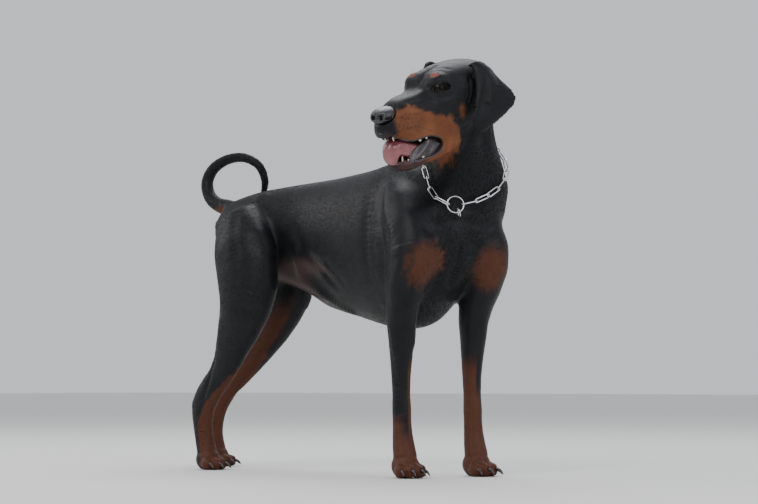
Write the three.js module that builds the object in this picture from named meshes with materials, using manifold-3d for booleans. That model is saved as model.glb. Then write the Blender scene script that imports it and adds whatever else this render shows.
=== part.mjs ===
// Life-size doberman pinscher standing with its head turned to its right and its mouth open, wearing a slip chain.
// Millimetres, +Z up, +X the way the body faces, +Y the dog's left. The paws stand on z = 0.
import * as THREE from "three";
import { mergeVertices } from "three/addons/utils/BufferGeometryUtils.js";
import Module from "manifold-3d";

const wasm = await Module();
wasm.setup();

const lifeSize = 0.95; // the drawing below stands 715 high at the withers, the dog 680
const gap = 0.34; // clearance kept between neighbouring pieces, in drawing units
const seam = gap / 2; // each side of the thin cut that parts one flesh piece from the next

const coatBlack = { color: 0x1c1c1f, roughness: 0.5, metalness: 0 };
const coatTan = { color: 0x8a4526, roughness: 0.6, metalness: 0 };
const leather = { color: 0x141416, roughness: 0.4, metalness: 0 };
const hornBlack = { color: 0x17120f, roughness: 0.45, metalness: 0 };
const wetPink = { color: 0xb05a60, roughness: 0.3, metalness: 0 };
const eyeBrown = { color: 0x1e0f08, roughness: 0.1, metalness: 0 };
const steel = { color: 0xd8dade, roughness: 0.2, metalness: 1 };

const dog = new THREE.Group();
const v3 = (x, y, z) => new THREE.Vector3(x, y, z);
const centring = [-9, 101.2, 0]; // puts the origin under the middle of the whole box

// Solids and meshes

function solid(geometry) {
  const bare = geometry.index ? geometry.clone() : mergeVertices(geometry.clone());
  bare.deleteAttribute("normal");
  bare.deleteAttribute("uv");
  const merged = mergeVertices(bare, 1e-3);
  const positions = merged.attributes.position.array;
  let triVerts = new Uint32Array(merged.index.array);
  triVerts = triVerts.filter((_, i) => {
    const [a, b, c] = [0, 1, 2].map((k) => triVerts[i - (i % 3) + k]);
    return a !== b && b !== c && a !== c;
  });
  const made = new wasm.Manifold(new wasm.Mesh({ numProp: 3, vertProperties: positions, triVerts }));
  if (made.volume() > 0) return made;
  for (let i = 0; i < triVerts.length; i += 3) {
    [triVerts[i + 1], triVerts[i + 2]] = [triVerts[i + 2], triVerts[i + 1]];
  }
  return new wasm.Manifold(new wasm.Mesh({ numProp: 3, vertProperties: positions, triVerts }));
}

const join = (...pieces) => pieces.reduce((all, piece) => all.add(piece));

// The largest closed body of a solid: a sealed hollow or a loose scrap is dropped.
function largest(piece) {
  const bodies = piece.decompose().filter((body) => body.volume() > 0);
  return bodies.reduce((best, body) => (body.volume() > best.volume() ? body : best));
}

function mesh(piece, finish) {
  const { vertProperties, triVerts } = piece.getMesh();
  const geometry = new THREE.BufferGeometry();
  geometry.setAttribute("position", new THREE.BufferAttribute(vertProperties.slice(), 3));
  geometry.setIndex(new THREE.BufferAttribute(triVerts.slice(), 1));
  geometry.computeVertexNormals();
  return new THREE.Mesh(geometry, new THREE.MeshStandardMaterial(finish));
}

function addPiece(name, piece, finish) {
  const made = mesh(largest(piece.scale([lifeSize, lifeSize, lifeSize]).translate(centring)), finish);
  made.name = name;
  dog.add(made);
}

// Each swell lifts the surface near a place by up to its push, fading out over its reach.
function swollen(point, swells) {
  const moved = point.clone();
  for (const { at, reach, push } of swells) {
    const away = point.clone().sub(at).divide(reach).lengthSq();
    moved.addScaledVector(push, Math.exp(-away));
  }
  return moved;
}

const rounded = (value, squareness) => Math.sign(value) * Math.abs(value) ** (2 / squareness);

// A closed body drawn along a smooth line through its stations. A station has a centre, a half width across,
// half depths before and behind it, and a squareness: 2 is an ellipse and more is boxier.
// across is the direction that the half width is measured in.
function body(stations, { across, around, along, swells = [], grow = 0, place = null }) {
  const centres = new THREE.CatmullRomCurve3(stations.map((s) => s.at));
  const sizes = new THREE.CatmullRomCurve3(stations.map((s) => v3(s.wide, s.fore, s.aft)), false, "catmullrom", 0.5);
  const shapes = new THREE.CatmullRomCurve3(stations.map((s) => v3(s.square ?? 2, 0, 0)), false, "catmullrom", 0.5);
  const geometry = new THREE.SphereGeometry(1, around, along);
  const position = geometry.attributes.position;
  const domeRows = 1;
  for (let i = 0; i < position.count; i += 1) {
    const row = Math.floor(i / (around + 1));
    const turn = (2 * Math.PI * (i % (around + 1))) / around;
    const t = THREE.MathUtils.clamp((row - domeRows) / (along - 2 * domeRows), 0, 1);
    const isPole = row === 0 || row === along;
    const tangent = centres.getTangent(t);
    const side = across.clone().addScaledVector(tangent, -across.dot(tangent)).normalize();
    const front = new THREE.Vector3().crossVectors(side, tangent);
    const size = sizes.getPoint(t);
    const square = shapes.getPoint(t).x;
    const [c, s] = [rounded(Math.cos(turn), square), rounded(Math.sin(turn), square)];
    const depth = s > 0 ? size.y : size.z;
    const point = centres.getPoint(t);
    if (isPole) {
      const end = (row === 0 ? -1 : 1) * (0.35 * Math.min(size.x, size.y) + grow);
      point.addScaledVector(tangent, end);
    } else {
      point.addScaledVector(side, c * (size.x + grow)).addScaledVector(front, s * (depth + grow));
    }
    const shaped = swollen(point, swells);
    if (place) shaped.applyMatrix4(place);
    position.setXYZ(i, shaped.x, shaped.y, shaped.z);
  }
  return solid(geometry);
}

// A box whose lower face's centre is at a point, rising along a direction: it keeps or cuts what lies beyond a plane.
function beyond(at, direction, size = 600) {
  const box = new THREE.BoxGeometry(size, size, size).translate(0, 0, size / 2);
  const turn = new THREE.Quaternion().setFromUnitVectors(v3(0, 0, 1), direction.clone().normalize());
  box.applyQuaternion(turn).translate(at.x, at.y, at.z);
  return solid(box);
}

// Parts a solid in two along a plane with a thin cut.
function parted(piece, at, direction, size = 600) {
  const way = direction.clone().normalize();
  const far = piece.intersect(beyond(at.clone().addScaledVector(way, seam), way, size));
  const near = piece.subtract(beyond(at.clone().addScaledVector(way, -seam), way, size));
  return [near, far];
}

function ball(at, radius, scale = v3(1, 1, 1), detail = [16, 12]) {
  const geometry = new THREE.SphereGeometry(radius, ...detail).scale(scale.x, scale.y, scale.z);
  return solid(geometry.translate(at.x, at.y, at.z));
}

// Trunk: the spine is an arc, the pelvis heading a little to the left and the chest to the right.

const spineBend = 0.000419; // sideways curve of the spine per mm of length, squared
const spineCrown = v3(-101, 14, 0); // where the arc stands furthest to the left
const midline = (x) => spineCrown.y - spineBend * (x - spineCrown.x) ** 2;
const up = v3(0, 0, 1);
const left = v3(0, 1, 0);

const trunkRows = [
  // x, top, widest level, bottom, half width, squareness
  [-368, 600, 560, 510, 44, 2],
  [-345, 637, 562, 474, 74, 2],
  [-300, 655, 566, 455, 90, 2.1],
  [-240, 668, 570, 448, 95, 2.1],
  [-170, 676, 574, 436, 88, 2.1],
  [-100, 682, 568, 418, 88, 2.1],
  [-20, 687, 556, 388, 100, 2.1],
  [60, 693, 546, 360, 111, 2.1],
  [140, 703, 536, 337, 116, 2.1],
  [205, 712, 528, 324, 116, 2.2],
  [265, 694, 520, 322, 114, 2.2],
  [315, 660, 510, 334, 110, 2.2],
  [358, 612, 494, 366, 94, 2.1],
  [386, 552, 482, 410, 60, 2],
];

const trunk = (grow = 0) =>
  body(trunkRows.map(([x, top, level, bottom, wide, square]) => {
    return { at: v3(x, midline(x), level), wide, fore: level - bottom, aft: top - level, square };
  }), {
    across: left,
    around: 24,
    along: 22,
    grow,
    swells: [
      { at: v3(372, midline(372), 490), reach: v3(40, 34, 34), push: v3(12, -3, 0) },
      { at: v3(-60, 6, 385), reach: v3(95, 26, 40), push: v3(0, 0, -16) },
      { at: v3(-60, -74, 440), reach: v3(85, 44, 46), push: v3(0, 26, 14) },
      { at: v3(-60, 88, 440), reach: v3(85, 44, 46), push: v3(0, -26, 14) },
    ],
  });

// Neck

const neckRows = [
  // x, y, z, half width, before, behind
  [285, -32, 560, 92, 98, 104],
  [342, -16, 608, 112, 98, 100],
  [357, -27, 668, 91, 94, 90],
  [365, -42, 720, 73, 87, 80],
  [371, -46, 776, 63, 74, 70],
  [378, -44, 830, 55, 66, 64],
  [384, -50, 872, 47, 56, 56],
];

const neck = (grow = 0) =>
  body(neckRows.map(([x, y, z, wide, fore, aft]) => ({ at: v3(x, y, z), wide, fore, aft })), {
    across: v3(0.34, 0.94, 0),
    around: 22,
    along: 14,
    grow,
  });

// Legs. The chest is turned to the dog's right by chestTurn; chestFoot lies midway between the forefeet.

const chestTurn = -0.35;
const chestFoot = v3(308, -56, 0);
const foreLead = { left: 8, right: -8 };
const foreRows = [
  // forward, outward, height, half width, before, behind
  [-92, 38, 672, 20, 26, 34],
  [-42, 68, 615, 39, 48, 56],
  [10, 86, 560, 46, 61, 68],
  [42, 92, 500, 50, 62, 66],
  [40, 94, 448, 48, 54, 66],
  [14, 93, 395, 40, 44, 54],
  [2, 90, 345, 32, 38, 44],
  [0, 89, 295, 28, 31, 34],
  [-4, 88, 240, 23, 25, 26],
  [-4, 88, 185, 20, 22, 21],
  [-2, 88, 145, 21.5, 23, 22],
  [0, 88, 112, 21.5, 20, 21],
  [4, 88, 78, 25, 22, 23],
  [12, 88, 44, 28, 26, 26],
];

function chestPoint(forward, sideways, z) {
  const turned = v3(forward, sideways, 0).applyAxisAngle(up, chestTurn);
  return turned.add(chestFoot).setZ(z);
}

function foreLeg(side, grow = 0) {
  const sign = side === "left" ? 1 : -1;
  const stations = foreRows.map(([forward, outward, z, wide, fore, aft]) => {
    const at = chestPoint(forward + foreLead[side], sign * outward, z);
    return { at, wide, fore: aft, aft: fore };
  });
  return body(stations, { across: left.clone().applyAxisAngle(up, chestTurn), around: 14, along: 19, grow });
}

const hindRows = {
  // x, outward, height, half width, before, behind
  right: [
    [-268, 58, 606, 34, 54, 60],
    [-240, 84, 540, 52, 84, 84],
    [-206, 98, 455, 50, 92, 92],
    [-214, 102, 375, 42, 76, 74],
    [-244, 102, 300, 30, 50, 52],
    [-282, 100, 232, 22, 37, 36],
    [-318, 99, 188, 19, 33, 38],
    [-342, 98, 150, 20, 32, 40],
    [-346, 98, 112, 19, 27, 30],
    [-342, 98, 76, 21, 25, 25],
    [-334, 98, 42, 25, 26, 24],
  ],
  left: [
    [-278, 58, 606, 34, 54, 60],
    [-262, 82, 540, 52, 84, 80],
    [-258, 92, 455, 50, 90, 88],
    [-282, 90, 378, 42, 74, 74],
    [-322, 84, 306, 31, 50, 52],
    [-372, 76, 244, 23, 37, 36],
    [-416, 69, 200, 20, 33, 38],
    [-446, 64, 160, 20, 32, 40],
    [-458, 62, 116, 19, 27, 30],
    [-459, 60, 76, 21, 25, 25],
    [-452, 60, 42, 25, 26, 24],
  ],
};

function hindLeg(side, grow = 0) {
  const sign = side === "left" ? 1 : -1;
  const stations = hindRows[side].map(([x, outward, z, wide, fore, aft]) => {
    return { at: v3(x, sign * outward + midline(-345), z), wide, fore: aft, aft: fore };
  });
  return body(stations, { across: left, around: 14, along: 19, grow });
}

// Paws: four toes round a middle pad, each toe with a claw of its own, standing on flats at the floor.

const paws = {
  forepaw_left: { at: chestPoint(foreLead.left + 14, 88, 0), turn: -0.2, leg: "foreleg_left", size: 1 },
  forepaw_right: { at: chestPoint(foreLead.right + 14, -88, 0), turn: -0.42, leg: "foreleg_right", size: 1 },
  hindpaw_left: { at: v3(-446, 60 + midline(-345), 0), turn: 0.12, leg: "hindleg_left", size: 0.93 },
  hindpaw_right: { at: v3(-328, -98 + midline(-345), 0), turn: -0.05, leg: "hindleg_right", size: 0.93 },
};
const toes = [
  // forward, sideways, turn, length
  [18, 25, 0.2, 20],
  [33, 10, 0.06, 22],
  [33, -10, -0.06, 22],
  [18, -25, -0.2, 20],
];

function pawFrame({ at, turn, size }) {
  return new THREE.Matrix4()
    .makeTranslation(at.x, at.y, at.z)
    .multiply(new THREE.Matrix4().makeRotationZ(turn))
    .multiply(new THREE.Matrix4().makeScale(size, size, size));
}

function ellipsoid(at, reach, place, detail = [12, 8], turn = 0) {
  const geometry = new THREE.SphereGeometry(1, ...detail).scale(reach.x, reach.y, reach.z);
  geometry.rotateZ(turn).translate(at.x, at.y, at.z);
  return solid(place ? geometry.applyMatrix4(place) : geometry);
}

function pawBlock(paw) {
  const frame = pawFrame(paw);
  const pieces = toes.map(([forward, sideways, turn, length]) => {
    return ellipsoid(v3(forward, sideways, 15), v3(length, 12, 18), frame, [8, 5], turn);
  });
  pieces.push(ellipsoid(v3(-2, 0, 26), v3(34, 31, 32), frame, [12, 8]));
  return join(...pieces);
}

function claw(paw, [forward, sideways, turn, length], grow = 0) {
  const out = (along, z) => v3(forward + Math.cos(turn) * along, sideways + Math.sin(turn) * along, z);
  const stations = [
    { at: out(length - 9, 18), wide: 4, fore: 4.6, aft: 4.6 },
    { at: out(length + 1, 16.5), wide: 3.6, fore: 4.4, aft: 4.4 },
    { at: out(length + 9, 11), wide: 2.4, fore: 3, aft: 3 },
    { at: out(length + 13, 5.5), wide: 0.9, fore: 1, aft: 1 },
  ];
  return body(stations, { across: left, around: 6, along: 4, grow, place: pawFrame(paw) });
}

// Tail: a ring that rises behind the rump and curls forward over the back, leaning to the dog's left.

const tailRows = [
  // x, y, z, radius
  [-318, -8, 618, 24],
  [-352, -8, 632, 22],
  [-392, -4, 640, 19],
  [-432, 2, 664, 17],
  [-447, 6, 700, 16],
  [-436, 14, 734, 15],
  [-398, 24, 757, 13.5],
  [-350, 36, 760, 12.5],
  [-312, 48, 738, 11.5],
  [-300, 56, 702, 10],
  [-310, 62, 674, 7.5],
  [-322, 64, 660, 4],
];

const tail = (grow = 0) =>
  body(tailRows.map(([x, y, z, r]) => ({ at: v3(x, y, z), wide: r, fore: r, aft: r })), {
    across: v3(0.1, 1, 0),
    around: 10,
    along: 32,
    grow,
  });

// Head, drawn in its own frame: +x to the nose, +y to the dog's left, origin between the eyes.

const headTurn = THREE.MathUtils.degToRad(-96.9);
const headPitch = THREE.MathUtils.degToRad(19);
const headRoll = THREE.MathUtils.degToRad(-7);
const headSize = 1.268;
const headOrigin = v3(374, -190, 826);
const headPlace = new THREE.Matrix4()
  .makeTranslation(headOrigin.x, headOrigin.y, headOrigin.z)
  .multiply(new THREE.Matrix4().makeRotationZ(headTurn))
  .multiply(new THREE.Matrix4().makeRotationY(headPitch))
  .multiply(new THREE.Matrix4().makeRotationX(headRoll))
  .multiply(new THREE.Matrix4().makeScale(headSize, headSize, headSize));
const onHead = (x, y, z) => v3(x, y, z).applyMatrix4(headPlace);
const headWay = (x, y, z) => v3(x, y, z).transformDirection(headPlace);

const skullRows = [
  // x, top, widest level, bottom, half width, squareness
  [-146, 10, -24, -60, 40, 2],
  [-125, 26, -18, -80, 50, 2.1],
  [-95, 37, -14, -94, 57, 2.2],
  [-62, 40, -16, -104, 57, 2.3],
  [-30, 37, -24, -110, 52, 2.5],
  [0, 21, -36, -108, 45, 2.8],
  [18, 12, -40, -100, 41, 2.9],
  [38, 8, -42, -88, 37, 3],
  [64, 7, -40, -80, 34, 3],
  [84, 5, -37, -76, 31, 2.9],
  [100, 1, -33, -66, 27, 2.7],
  [111, -5, -28, -54, 22, 2.4],
  [118, -12, -25, -40, 14, 2.2],
];

function mirrored(swells) {
  const across = ({ at, reach, push }) => ({ at: v3(at.x, -at.y, at.z), reach, push: v3(push.x, -push.y, push.z) });
  return [...swells, ...swells.map(across)];
}

const skull = (grow = 0) =>
  body(skullRows.map(([x, top, level, bottom, wide, square]) => {
    return { at: v3(x, 0, level), wide, fore: level - bottom, aft: top - level, square };
  }), {
    across: left,
    around: 26,
    along: 28,
    grow,
    place: headPlace,
    swells: mirrored([
      { at: v3(4, 27, 22), reach: v3(17, 13, 13), push: v3(1, 4, 6) },
      { at: v3(18, 0, 18), reach: v3(16, 14, 16), push: v3(0, 0, -2.5) },
      { at: v3(18, 40, -4), reach: v3(18, 12, 14), push: v3(0, -5, 0) },
      { at: v3(-28, 52, -10), reach: v3(24, 14, 12), push: v3(0, 4, 1) },
      { at: v3(-16, 42, 8), reach: v3(14, 12, 13), push: v3(0, 4, 1) },
      { at: v3(2, 36, -8), reach: v3(18, 9, 9), push: v3(0, 4, 0) },
    ]),
  });

const mouthRows = [
  // x, roof, level, half width
  [-4, -80, -90, 10],
  [10, -72, -88, 24],
  [26, -60, -84, 28],
  [44, -52, -82, 27],
  [66, -47, -80, 25],
  [86, -45, -78, 22],
  [99, -45, -74, 17],
  [107, -46, -68, 10],
];

const mouthHollow = body(mouthRows.map(([x, roof, level, wide]) => {
  return { at: v3(x, 0, level), wide, fore: 14, aft: roof - level, square: 2.4 };
}), { across: left, around: 16, along: 12, place: headPlace });

// The gape runs right across the head between the lips, from the corner of the mouth forward.
const gapeRows = [
  // x, upper lip, lower lip
  [13, -81, -85],
  [19, -77, -90],
  [28, -71.5, -95],
  [40, -68.5, -98],
  [58, -68.5, -99],
  [78, -69, -98],
  [94, -64, -97],
  [108, -55, -96],
  [122, -44, -94],
];

const gape = body(gapeRows.map(([x, upper, lower]) => {
  const level = (upper + lower) / 2;
  return { at: v3(x, 0, level), wide: 80, fore: level - lower, aft: upper - level, square: 5 };
}), { across: left, around: 16, along: 14, place: headPlace });

const jawRows = [
  // x, lip, bottom, half width
  [-66, -30, -98, 32],
  [-42, -40, -106, 39],
  [-16, -56, -112, 42],
  [2, -72, -114, 41],
  [16, -84, -114, 40],
  [32, -92, -114, 37],
  [58, -96, -116, 31],
  [78, -95, -118, 27],
  [94, -94, -116, 21],
  [103, -96, -112, 13],
];

const jaw = body(jawRows.map(([x, lip, bottom, wide]) => {
  return { at: v3(x, 0, (lip + bottom) / 2 + 2), wide, fore: (lip - bottom) / 2 + 2, aft: (lip - bottom) / 2 - 2, square: 3 };
}), { across: left, around: 18, along: 18, place: headPlace });

const trough = body(jawRows.slice(4).map(([x, lip, , wide]) => {
  return { at: v3(x - 5, 0, lip + 4), wide: wide - 6, fore: 13, aft: 12, square: 2.4 };
}), { across: left, around: 14, along: 10, place: headPlace });

// Teeth: incisors across the front, a canine at each corner, and three side teeth behind it.

function tooth(x, y, z, height, radius) {
  const geometry = new THREE.ConeGeometry(radius, Math.abs(height), 5);
  geometry.rotateX(Math.sign(height) * Math.PI / 2).translate(x, y, z + height / 2);
  return solid(geometry.applyMatrix4(headPlace));
}

function teeth(front, gum, reach, spread) {
  const set = [];
  for (const side of [1, -1]) {
    for (const k of [0.5, 1.5, 2.5]) set.push(tooth(front - 0.7 * k * k, side * 3.6 * k, gum, reach * 7, 2.1));
    set.push(tooth(front - 9, side * (spread - 5), gum, reach * 15, 3.6));
    for (const k of [1, 2, 3]) set.push(tooth(front - 14 - 13 * k, side * (spread - 3 + 2.4 * k), gum - reach, reach * 8, 4.6));
  }
  return join(...set);
}

// Eyes sit in lid mounds with almond openings.

const eyeRadius = 12.5;
const eyeSpot = (sign) => v3(-1, sign * 30, 5);
const eyeLook = (sign) => v3(0.6, sign * 0.78, 0.16).normalize();

function eyeball(sign, grow = 0) {
  const geometry = new THREE.SphereGeometry(eyeRadius + grow, 16, 10);
  const at = eyeSpot(sign);
  return solid(geometry.translate(at.x, at.y, at.z).applyMatrix4(headPlace));
}

function lids(sign) {
  const at = eyeSpot(sign);
  const geometry = new THREE.SphereGeometry(eyeRadius + 1.6, 16, 12);
  return solid(geometry.translate(at.x, at.y, at.z).applyMatrix4(headPlace));
}

function lidOpening(sign) {
  const look = eyeLook(sign);
  const turn = new THREE.Quaternion().setFromUnitVectors(v3(0, 0, 1), look);
  const lens = new THREE.Shape();
  const [half, rise] = [12, 6.5];
  lens.moveTo(-half, 0);
  lens.quadraticCurveTo(0, rise * 2, half, 0);
  lens.quadraticCurveTo(0, -rise * 2, -half, 0);
  const geometry = new THREE.ExtrudeGeometry(lens, { depth: 40, bevelEnabled: false, curveSegments: 5 });
  const level = new THREE.Vector3().crossVectors(v3(0, 0, 1), look).normalize();
  const wanted = new THREE.Vector3(1, 0, 0).applyQuaternion(turn);
  const spin = new THREE.Quaternion().setFromUnitVectors(wanted, level);
  geometry.applyQuaternion(turn).applyQuaternion(spin);
  const at = eyeSpot(sign);
  return solid(geometry.translate(at.x, at.y, at.z).applyMatrix4(headPlace));
}

// Nose leather with a nostril on each side and a groove down the middle.

function noseBlock(grow = 0) {
  const rows = [[98, -14, 18, 12, 12], [107, -15, 21, 12.5, 12.5], [117, -16, 20.5, 12, 11.5], [126, -17, 15.5, 10, 8.5]];
  const stations = rows.map(([x, z, wide, fore, aft]) => ({ at: v3(x, 0, z), wide, fore, aft, square: 2.3 }));
  return body(stations, { across: left, around: 16, along: 9, grow, place: headPlace });
}

function nostrils() {
  const set = [];
  for (const side of [1, -1]) {
    set.push(ellipsoid(v3(127, side * 8.5, -17), v3(9, 4.4, 4.6), headPlace, [8, 6]));
    set.push(ellipsoid(v3(117, side * 18.5, -19), v3(9, 5, 2.4), headPlace, [8, 6]));
  }
  set.push(ellipsoid(v3(132, 0, -23), v3(4, 0.9, 10), headPlace, [8, 6]));
  return join(...set);
}

// Ears: thin folded flaps, given as rows from the root to the tip with a front, a middle and a rear point.

const earRows = [
  [[-62, 44, 32], [-80, 54, 33], [-102, 44, 22]],
  [[-61, 54, 22], [-82, 66, 25], [-108, 60, 10]],
  [[-57, 61, 4], [-78, 77, 6], [-114, 76, -8]],
  [[-48, 66, -18], [-70, 82, -14], [-122, 90, -24]],
  [[-34, 69, -42], [-60, 84, -40], [-124, 95, -42]],
  [[-24, 71, -60], [-50, 82, -62], [-92, 88, -62]],
  [[-30, 73, -76], [-42, 77, -80], [-56, 79, -76]],
];
const earThick = 3.2;

function ear(sign, spread, grow = 0) {
  const edge = (k) => new THREE.CatmullRomCurve3(earRows.map((row) => {
    const [x, y, z] = row[k];
    return v3(x, sign * (44 + (y - 44) * spread), z);
  }));
  const [fronts, middles, rears] = [edge(0), edge(1), edge(2)];
  const [around, along] = [16, 12];
  const geometry = new THREE.SphereGeometry(1, around, along);
  const position = geometry.attributes.position;
  const strip = (u, t) => {
    const [a, m, b] = [fronts.getPoint(t), middles.getPoint(t), rears.getPoint(t)];
    return new THREE.QuadraticBezierCurve3(a, m.multiplyScalar(2).addScaledVector(a, -0.5).addScaledVector(b, -0.5), b).getPoint(u);
  };
  for (let i = 0; i < position.count; i += 1) {
    const row = Math.floor(i / (around + 1));
    const turn = (2 * Math.PI * (i % (around + 1))) / around;
    const t = THREE.MathUtils.clamp((row - 1) / (along - 2), 0, 1);
    const isPole = row === 0 || row === along;
    const u = isPole ? 0.5 : 0.5 - 0.5 * Math.cos(turn);
    const point = strip(u, t);
    const [du, dt] = [0.02, 0.02];
    const alongU = strip(Math.min(u + du, 1), t).sub(strip(Math.max(u - du, 0), t));
    const alongT = strip(u, Math.min(t + dt, 1)).sub(strip(u, Math.max(t - dt, 0)));
    const normal = new THREE.Vector3().crossVectors(alongU, alongT).normalize();
    const thick = earThick * (0.8 + 0.6 * (1 - t)) + grow;
    point.addScaledVector(normal, isPole ? 0 : thick * Math.sin(turn));
    if (!isPole) point.addScaledVector(alongU.normalize(), -grow * Math.cos(turn));
    if (isPole) point.addScaledVector(alongT.normalize(), (row === 0 ? -1 : 1) * (2 + grow));
    point.applyMatrix4(headPlace);
    position.setXYZ(i, point.x, point.y, point.z);
  }
  return solid(geometry);
}

// Tongue, lying in the lower jaw and lolling over its front.

const tongueRows = [
  // x, z, half width, half thickness
  [8, -88, 20, 5],
  [34, -90, 22, 6],
  [62, -85, 22, 6.5],
  [84, -79, 20, 6.5],
  [97, -76, 19, 6.5],
  [105, -82, 18, 6],
  [107, -91, 15, 5],
  [104, -98, 10, 4],
];

const tongue = (grow = 0) =>
  body(tongueRows.map(([x, z, wide, thick]) => ({ at: v3(x, 0, z), wide, fore: thick, aft: thick, square: 2.4 })), {
    across: left,
    around: 12,
    along: 14,
    grow,
    place: headPlace,
  });

// Chain: long links threaded end through end, lying round the base of the neck, with a ring low on the chest.

const wire = 1.6;
const linkHalfWidth = 4.9; // to the middle of the wire
const ringRadius = 18;
const dropRadius = 9.5;
const chainSlack = 0.6;
const chainLift = 9.6; // how far the chain's middle line stands off the coat
const chainCentre = v3(354, -42, 692);
const chainAcross = v3(0.77, 0.63, -0.07).normalize();
const chainDown = v3(0.42, -0.5, -0.757).normalize();
const ringWay = v3(-0.08, -0.09, -0.2); // how the ring hangs lower than the rest of the loop

// The loop is found by casting in from outside onto the neck, chest and shoulders.
function chainLines(flesh) {
  const skin = mesh(flesh, { side: THREE.DoubleSide });
  const [points, outs] = [[], []];
  for (let k = 0; k < 30; k += 1) {
    const angle = (2 * Math.PI * k) / 30;
    const out = chainDown.clone().multiplyScalar(Math.cos(angle)).addScaledVector(chainAcross, Math.sin(angle));
    const nearRing = Math.max(0, Math.cos(angle)) ** 6;
    out.addScaledVector(ringWay, nearRing).normalize();
    const start = chainCentre.clone().addScaledVector(out, 400);
    const hit = new THREE.Raycaster(start, out.clone().negate()).intersectObject(skin)[0];
    const lean = hit.face.normal.clone().multiplyScalar(Math.sign(hit.face.normal.dot(out)));
    points.push(hit.point.clone().addScaledVector(lean, chainLift + 5 * nearRing));
    outs.push(lean);
  }
  const evened = (list) => list.map((p, k) => p.clone().add(list.at(k - 1)).add(list[(k + 1) % list.length]));
  const line = evened(points).map((p) => p.divideScalar(3));
  const leans = evened(outs).map((p) => p.normalize());
  return [line, leans].map((list) => new THREE.CatmullRomCurve3(list, true, "centripetal"));
}

function oval(halfStraight, radius, sides = [5, 12]) {
  const geometry = new THREE.TorusGeometry(radius, wire, ...sides);
  const position = geometry.attributes.position;
  for (let i = 0; i < position.count; i += 1) {
    const x = position.getX(i);
    if (Math.abs(x) > 1e-6) position.setX(i, x + Math.sign(x) * halfStraight);
  }
  return geometry;
}

// Turns a flat loop so that its length runs along the chain and it is rolled about that line.
function laid(geometry, at, along, out, roll) {
  const side = new THREE.Vector3().crossVectors(out, along).normalize();
  const face = side.applyAxisAngle(along, roll);
  const normal = new THREE.Vector3().crossVectors(along, face).normalize();
  const frame = new THREE.Matrix4().makeBasis(along, face, normal).setPosition(at);
  return solid(geometry.applyMatrix4(frame));
}

// Links lie turned half way to each side in turn, and more towards the ring, which they pass through edge on.
const endTurns = [45, 25, 10];

function linkRoll(k, count) {
  const sideOf = (i) => (i % 2 ? 1 : -1);
  const extra = endTurns[Math.min(k, count - 1 - k)] ?? 0;
  const roll = 45 * sideOf(k) + extra * sideOf(k < count / 2 ? 0 : count - 1);
  return THREE.MathUtils.degToRad(roll);
}

function layChain(flesh) {
  const [line, leans] = chainLines(flesh);
  line.arcLengthDivisions = 600;
  const total = line.getLength();
  const inset = ringRadius - 2 * wire - chainSlack;
  const wanted = 17.6;
  const count = Math.round((total - 2 * inset) / (2 * wanted - 2 * wire));
  const half = (total - 2 * inset + (count - 1) * (2 * wire + chainSlack)) / (2 * count);
  const leanAt = (s) => leans.getPoint(line.getUtoTmapping(s / total));
  for (let k = 0; k < count; k += 1) {
    const s = inset + half + k * (2 * half - 2 * wire - chainSlack);
    const [a, b] = [line.getPointAt((s - half) / total), line.getPointAt((s + half) / total)];
    const along = b.clone().sub(a).normalize();
    const shape = oval(half - linkHalfWidth, linkHalfWidth);
    const link = laid(shape, a.add(b).multiplyScalar(0.5), along, leanAt(s), linkRoll(k, count));
    addPiece(`chain_link_${String(k + 1).padStart(2, "0")}`, link, steel);
  }
  const out = leanAt(0);
  const [first, last] = [line.getPointAt(inset / total), line.getPointAt(1 - inset / total)];
  const low = first.clone().add(last).multiplyScalar(0.5);
  const ring = (radius) => new THREE.TorusGeometry(radius, wire, 6, 18);
  addPiece("chain_ring_upper", laid(ring(ringRadius), low, first.sub(last).normalize(), out, 0), steel);
  const fall = v3(0.22, 0.18, -0.96);
  fall.addScaledVector(out, -fall.dot(out)).normalize();
  const hang = low.clone().addScaledVector(fall, ringRadius);
  const dropWay = fall.clone().addScaledVector(out, 2.6).normalize();
  hang.addScaledVector(dropWay, dropRadius - 2 * wire - chainSlack);
  addPiece("chain_ring_lower", laid(ring(dropRadius), hang, dropWay, out, Math.PI / 2), steel);
}

// Joining and parting

const bareHead = join(skull().subtract(mouthHollow), jaw).subtract(gape).subtract(trough).subtract(noseBlock(gap));
let headWhole = join(bareHead, teeth(104, -46, -1, 20), teeth(96, -102, 1, 17), lids(1), lids(-1));
for (const sign of [1, -1]) {
  headWhole = headWhole.subtract(lidOpening(sign)).subtract(eyeball(sign, gap));
  headWhole = headWhole.subtract(ellipsoid(v3(-86, sign * 56, 18), v3(15, 12, 18), headPlace));
}
headWhole = headWhole.subtract(tongue(gap));

const foreBody = join(trunk(), neck(), foreLeg("left"), foreLeg("right"));
let flesh = join(foreBody, hindLeg("left"), hindLeg("right"), tail(), headWhole);
for (const paw of Object.values(paws)) flesh = join(flesh, pawBlock(paw));
flesh = flesh.subtract(tongue(gap)).subtract(beyond(v3(0, 0, 0), v3(0, 0, -1), 1200));
for (const sign of [1, -1]) flesh = flesh.subtract(ear(sign, sign > 0 ? 1 : 0.7, gap));

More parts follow.
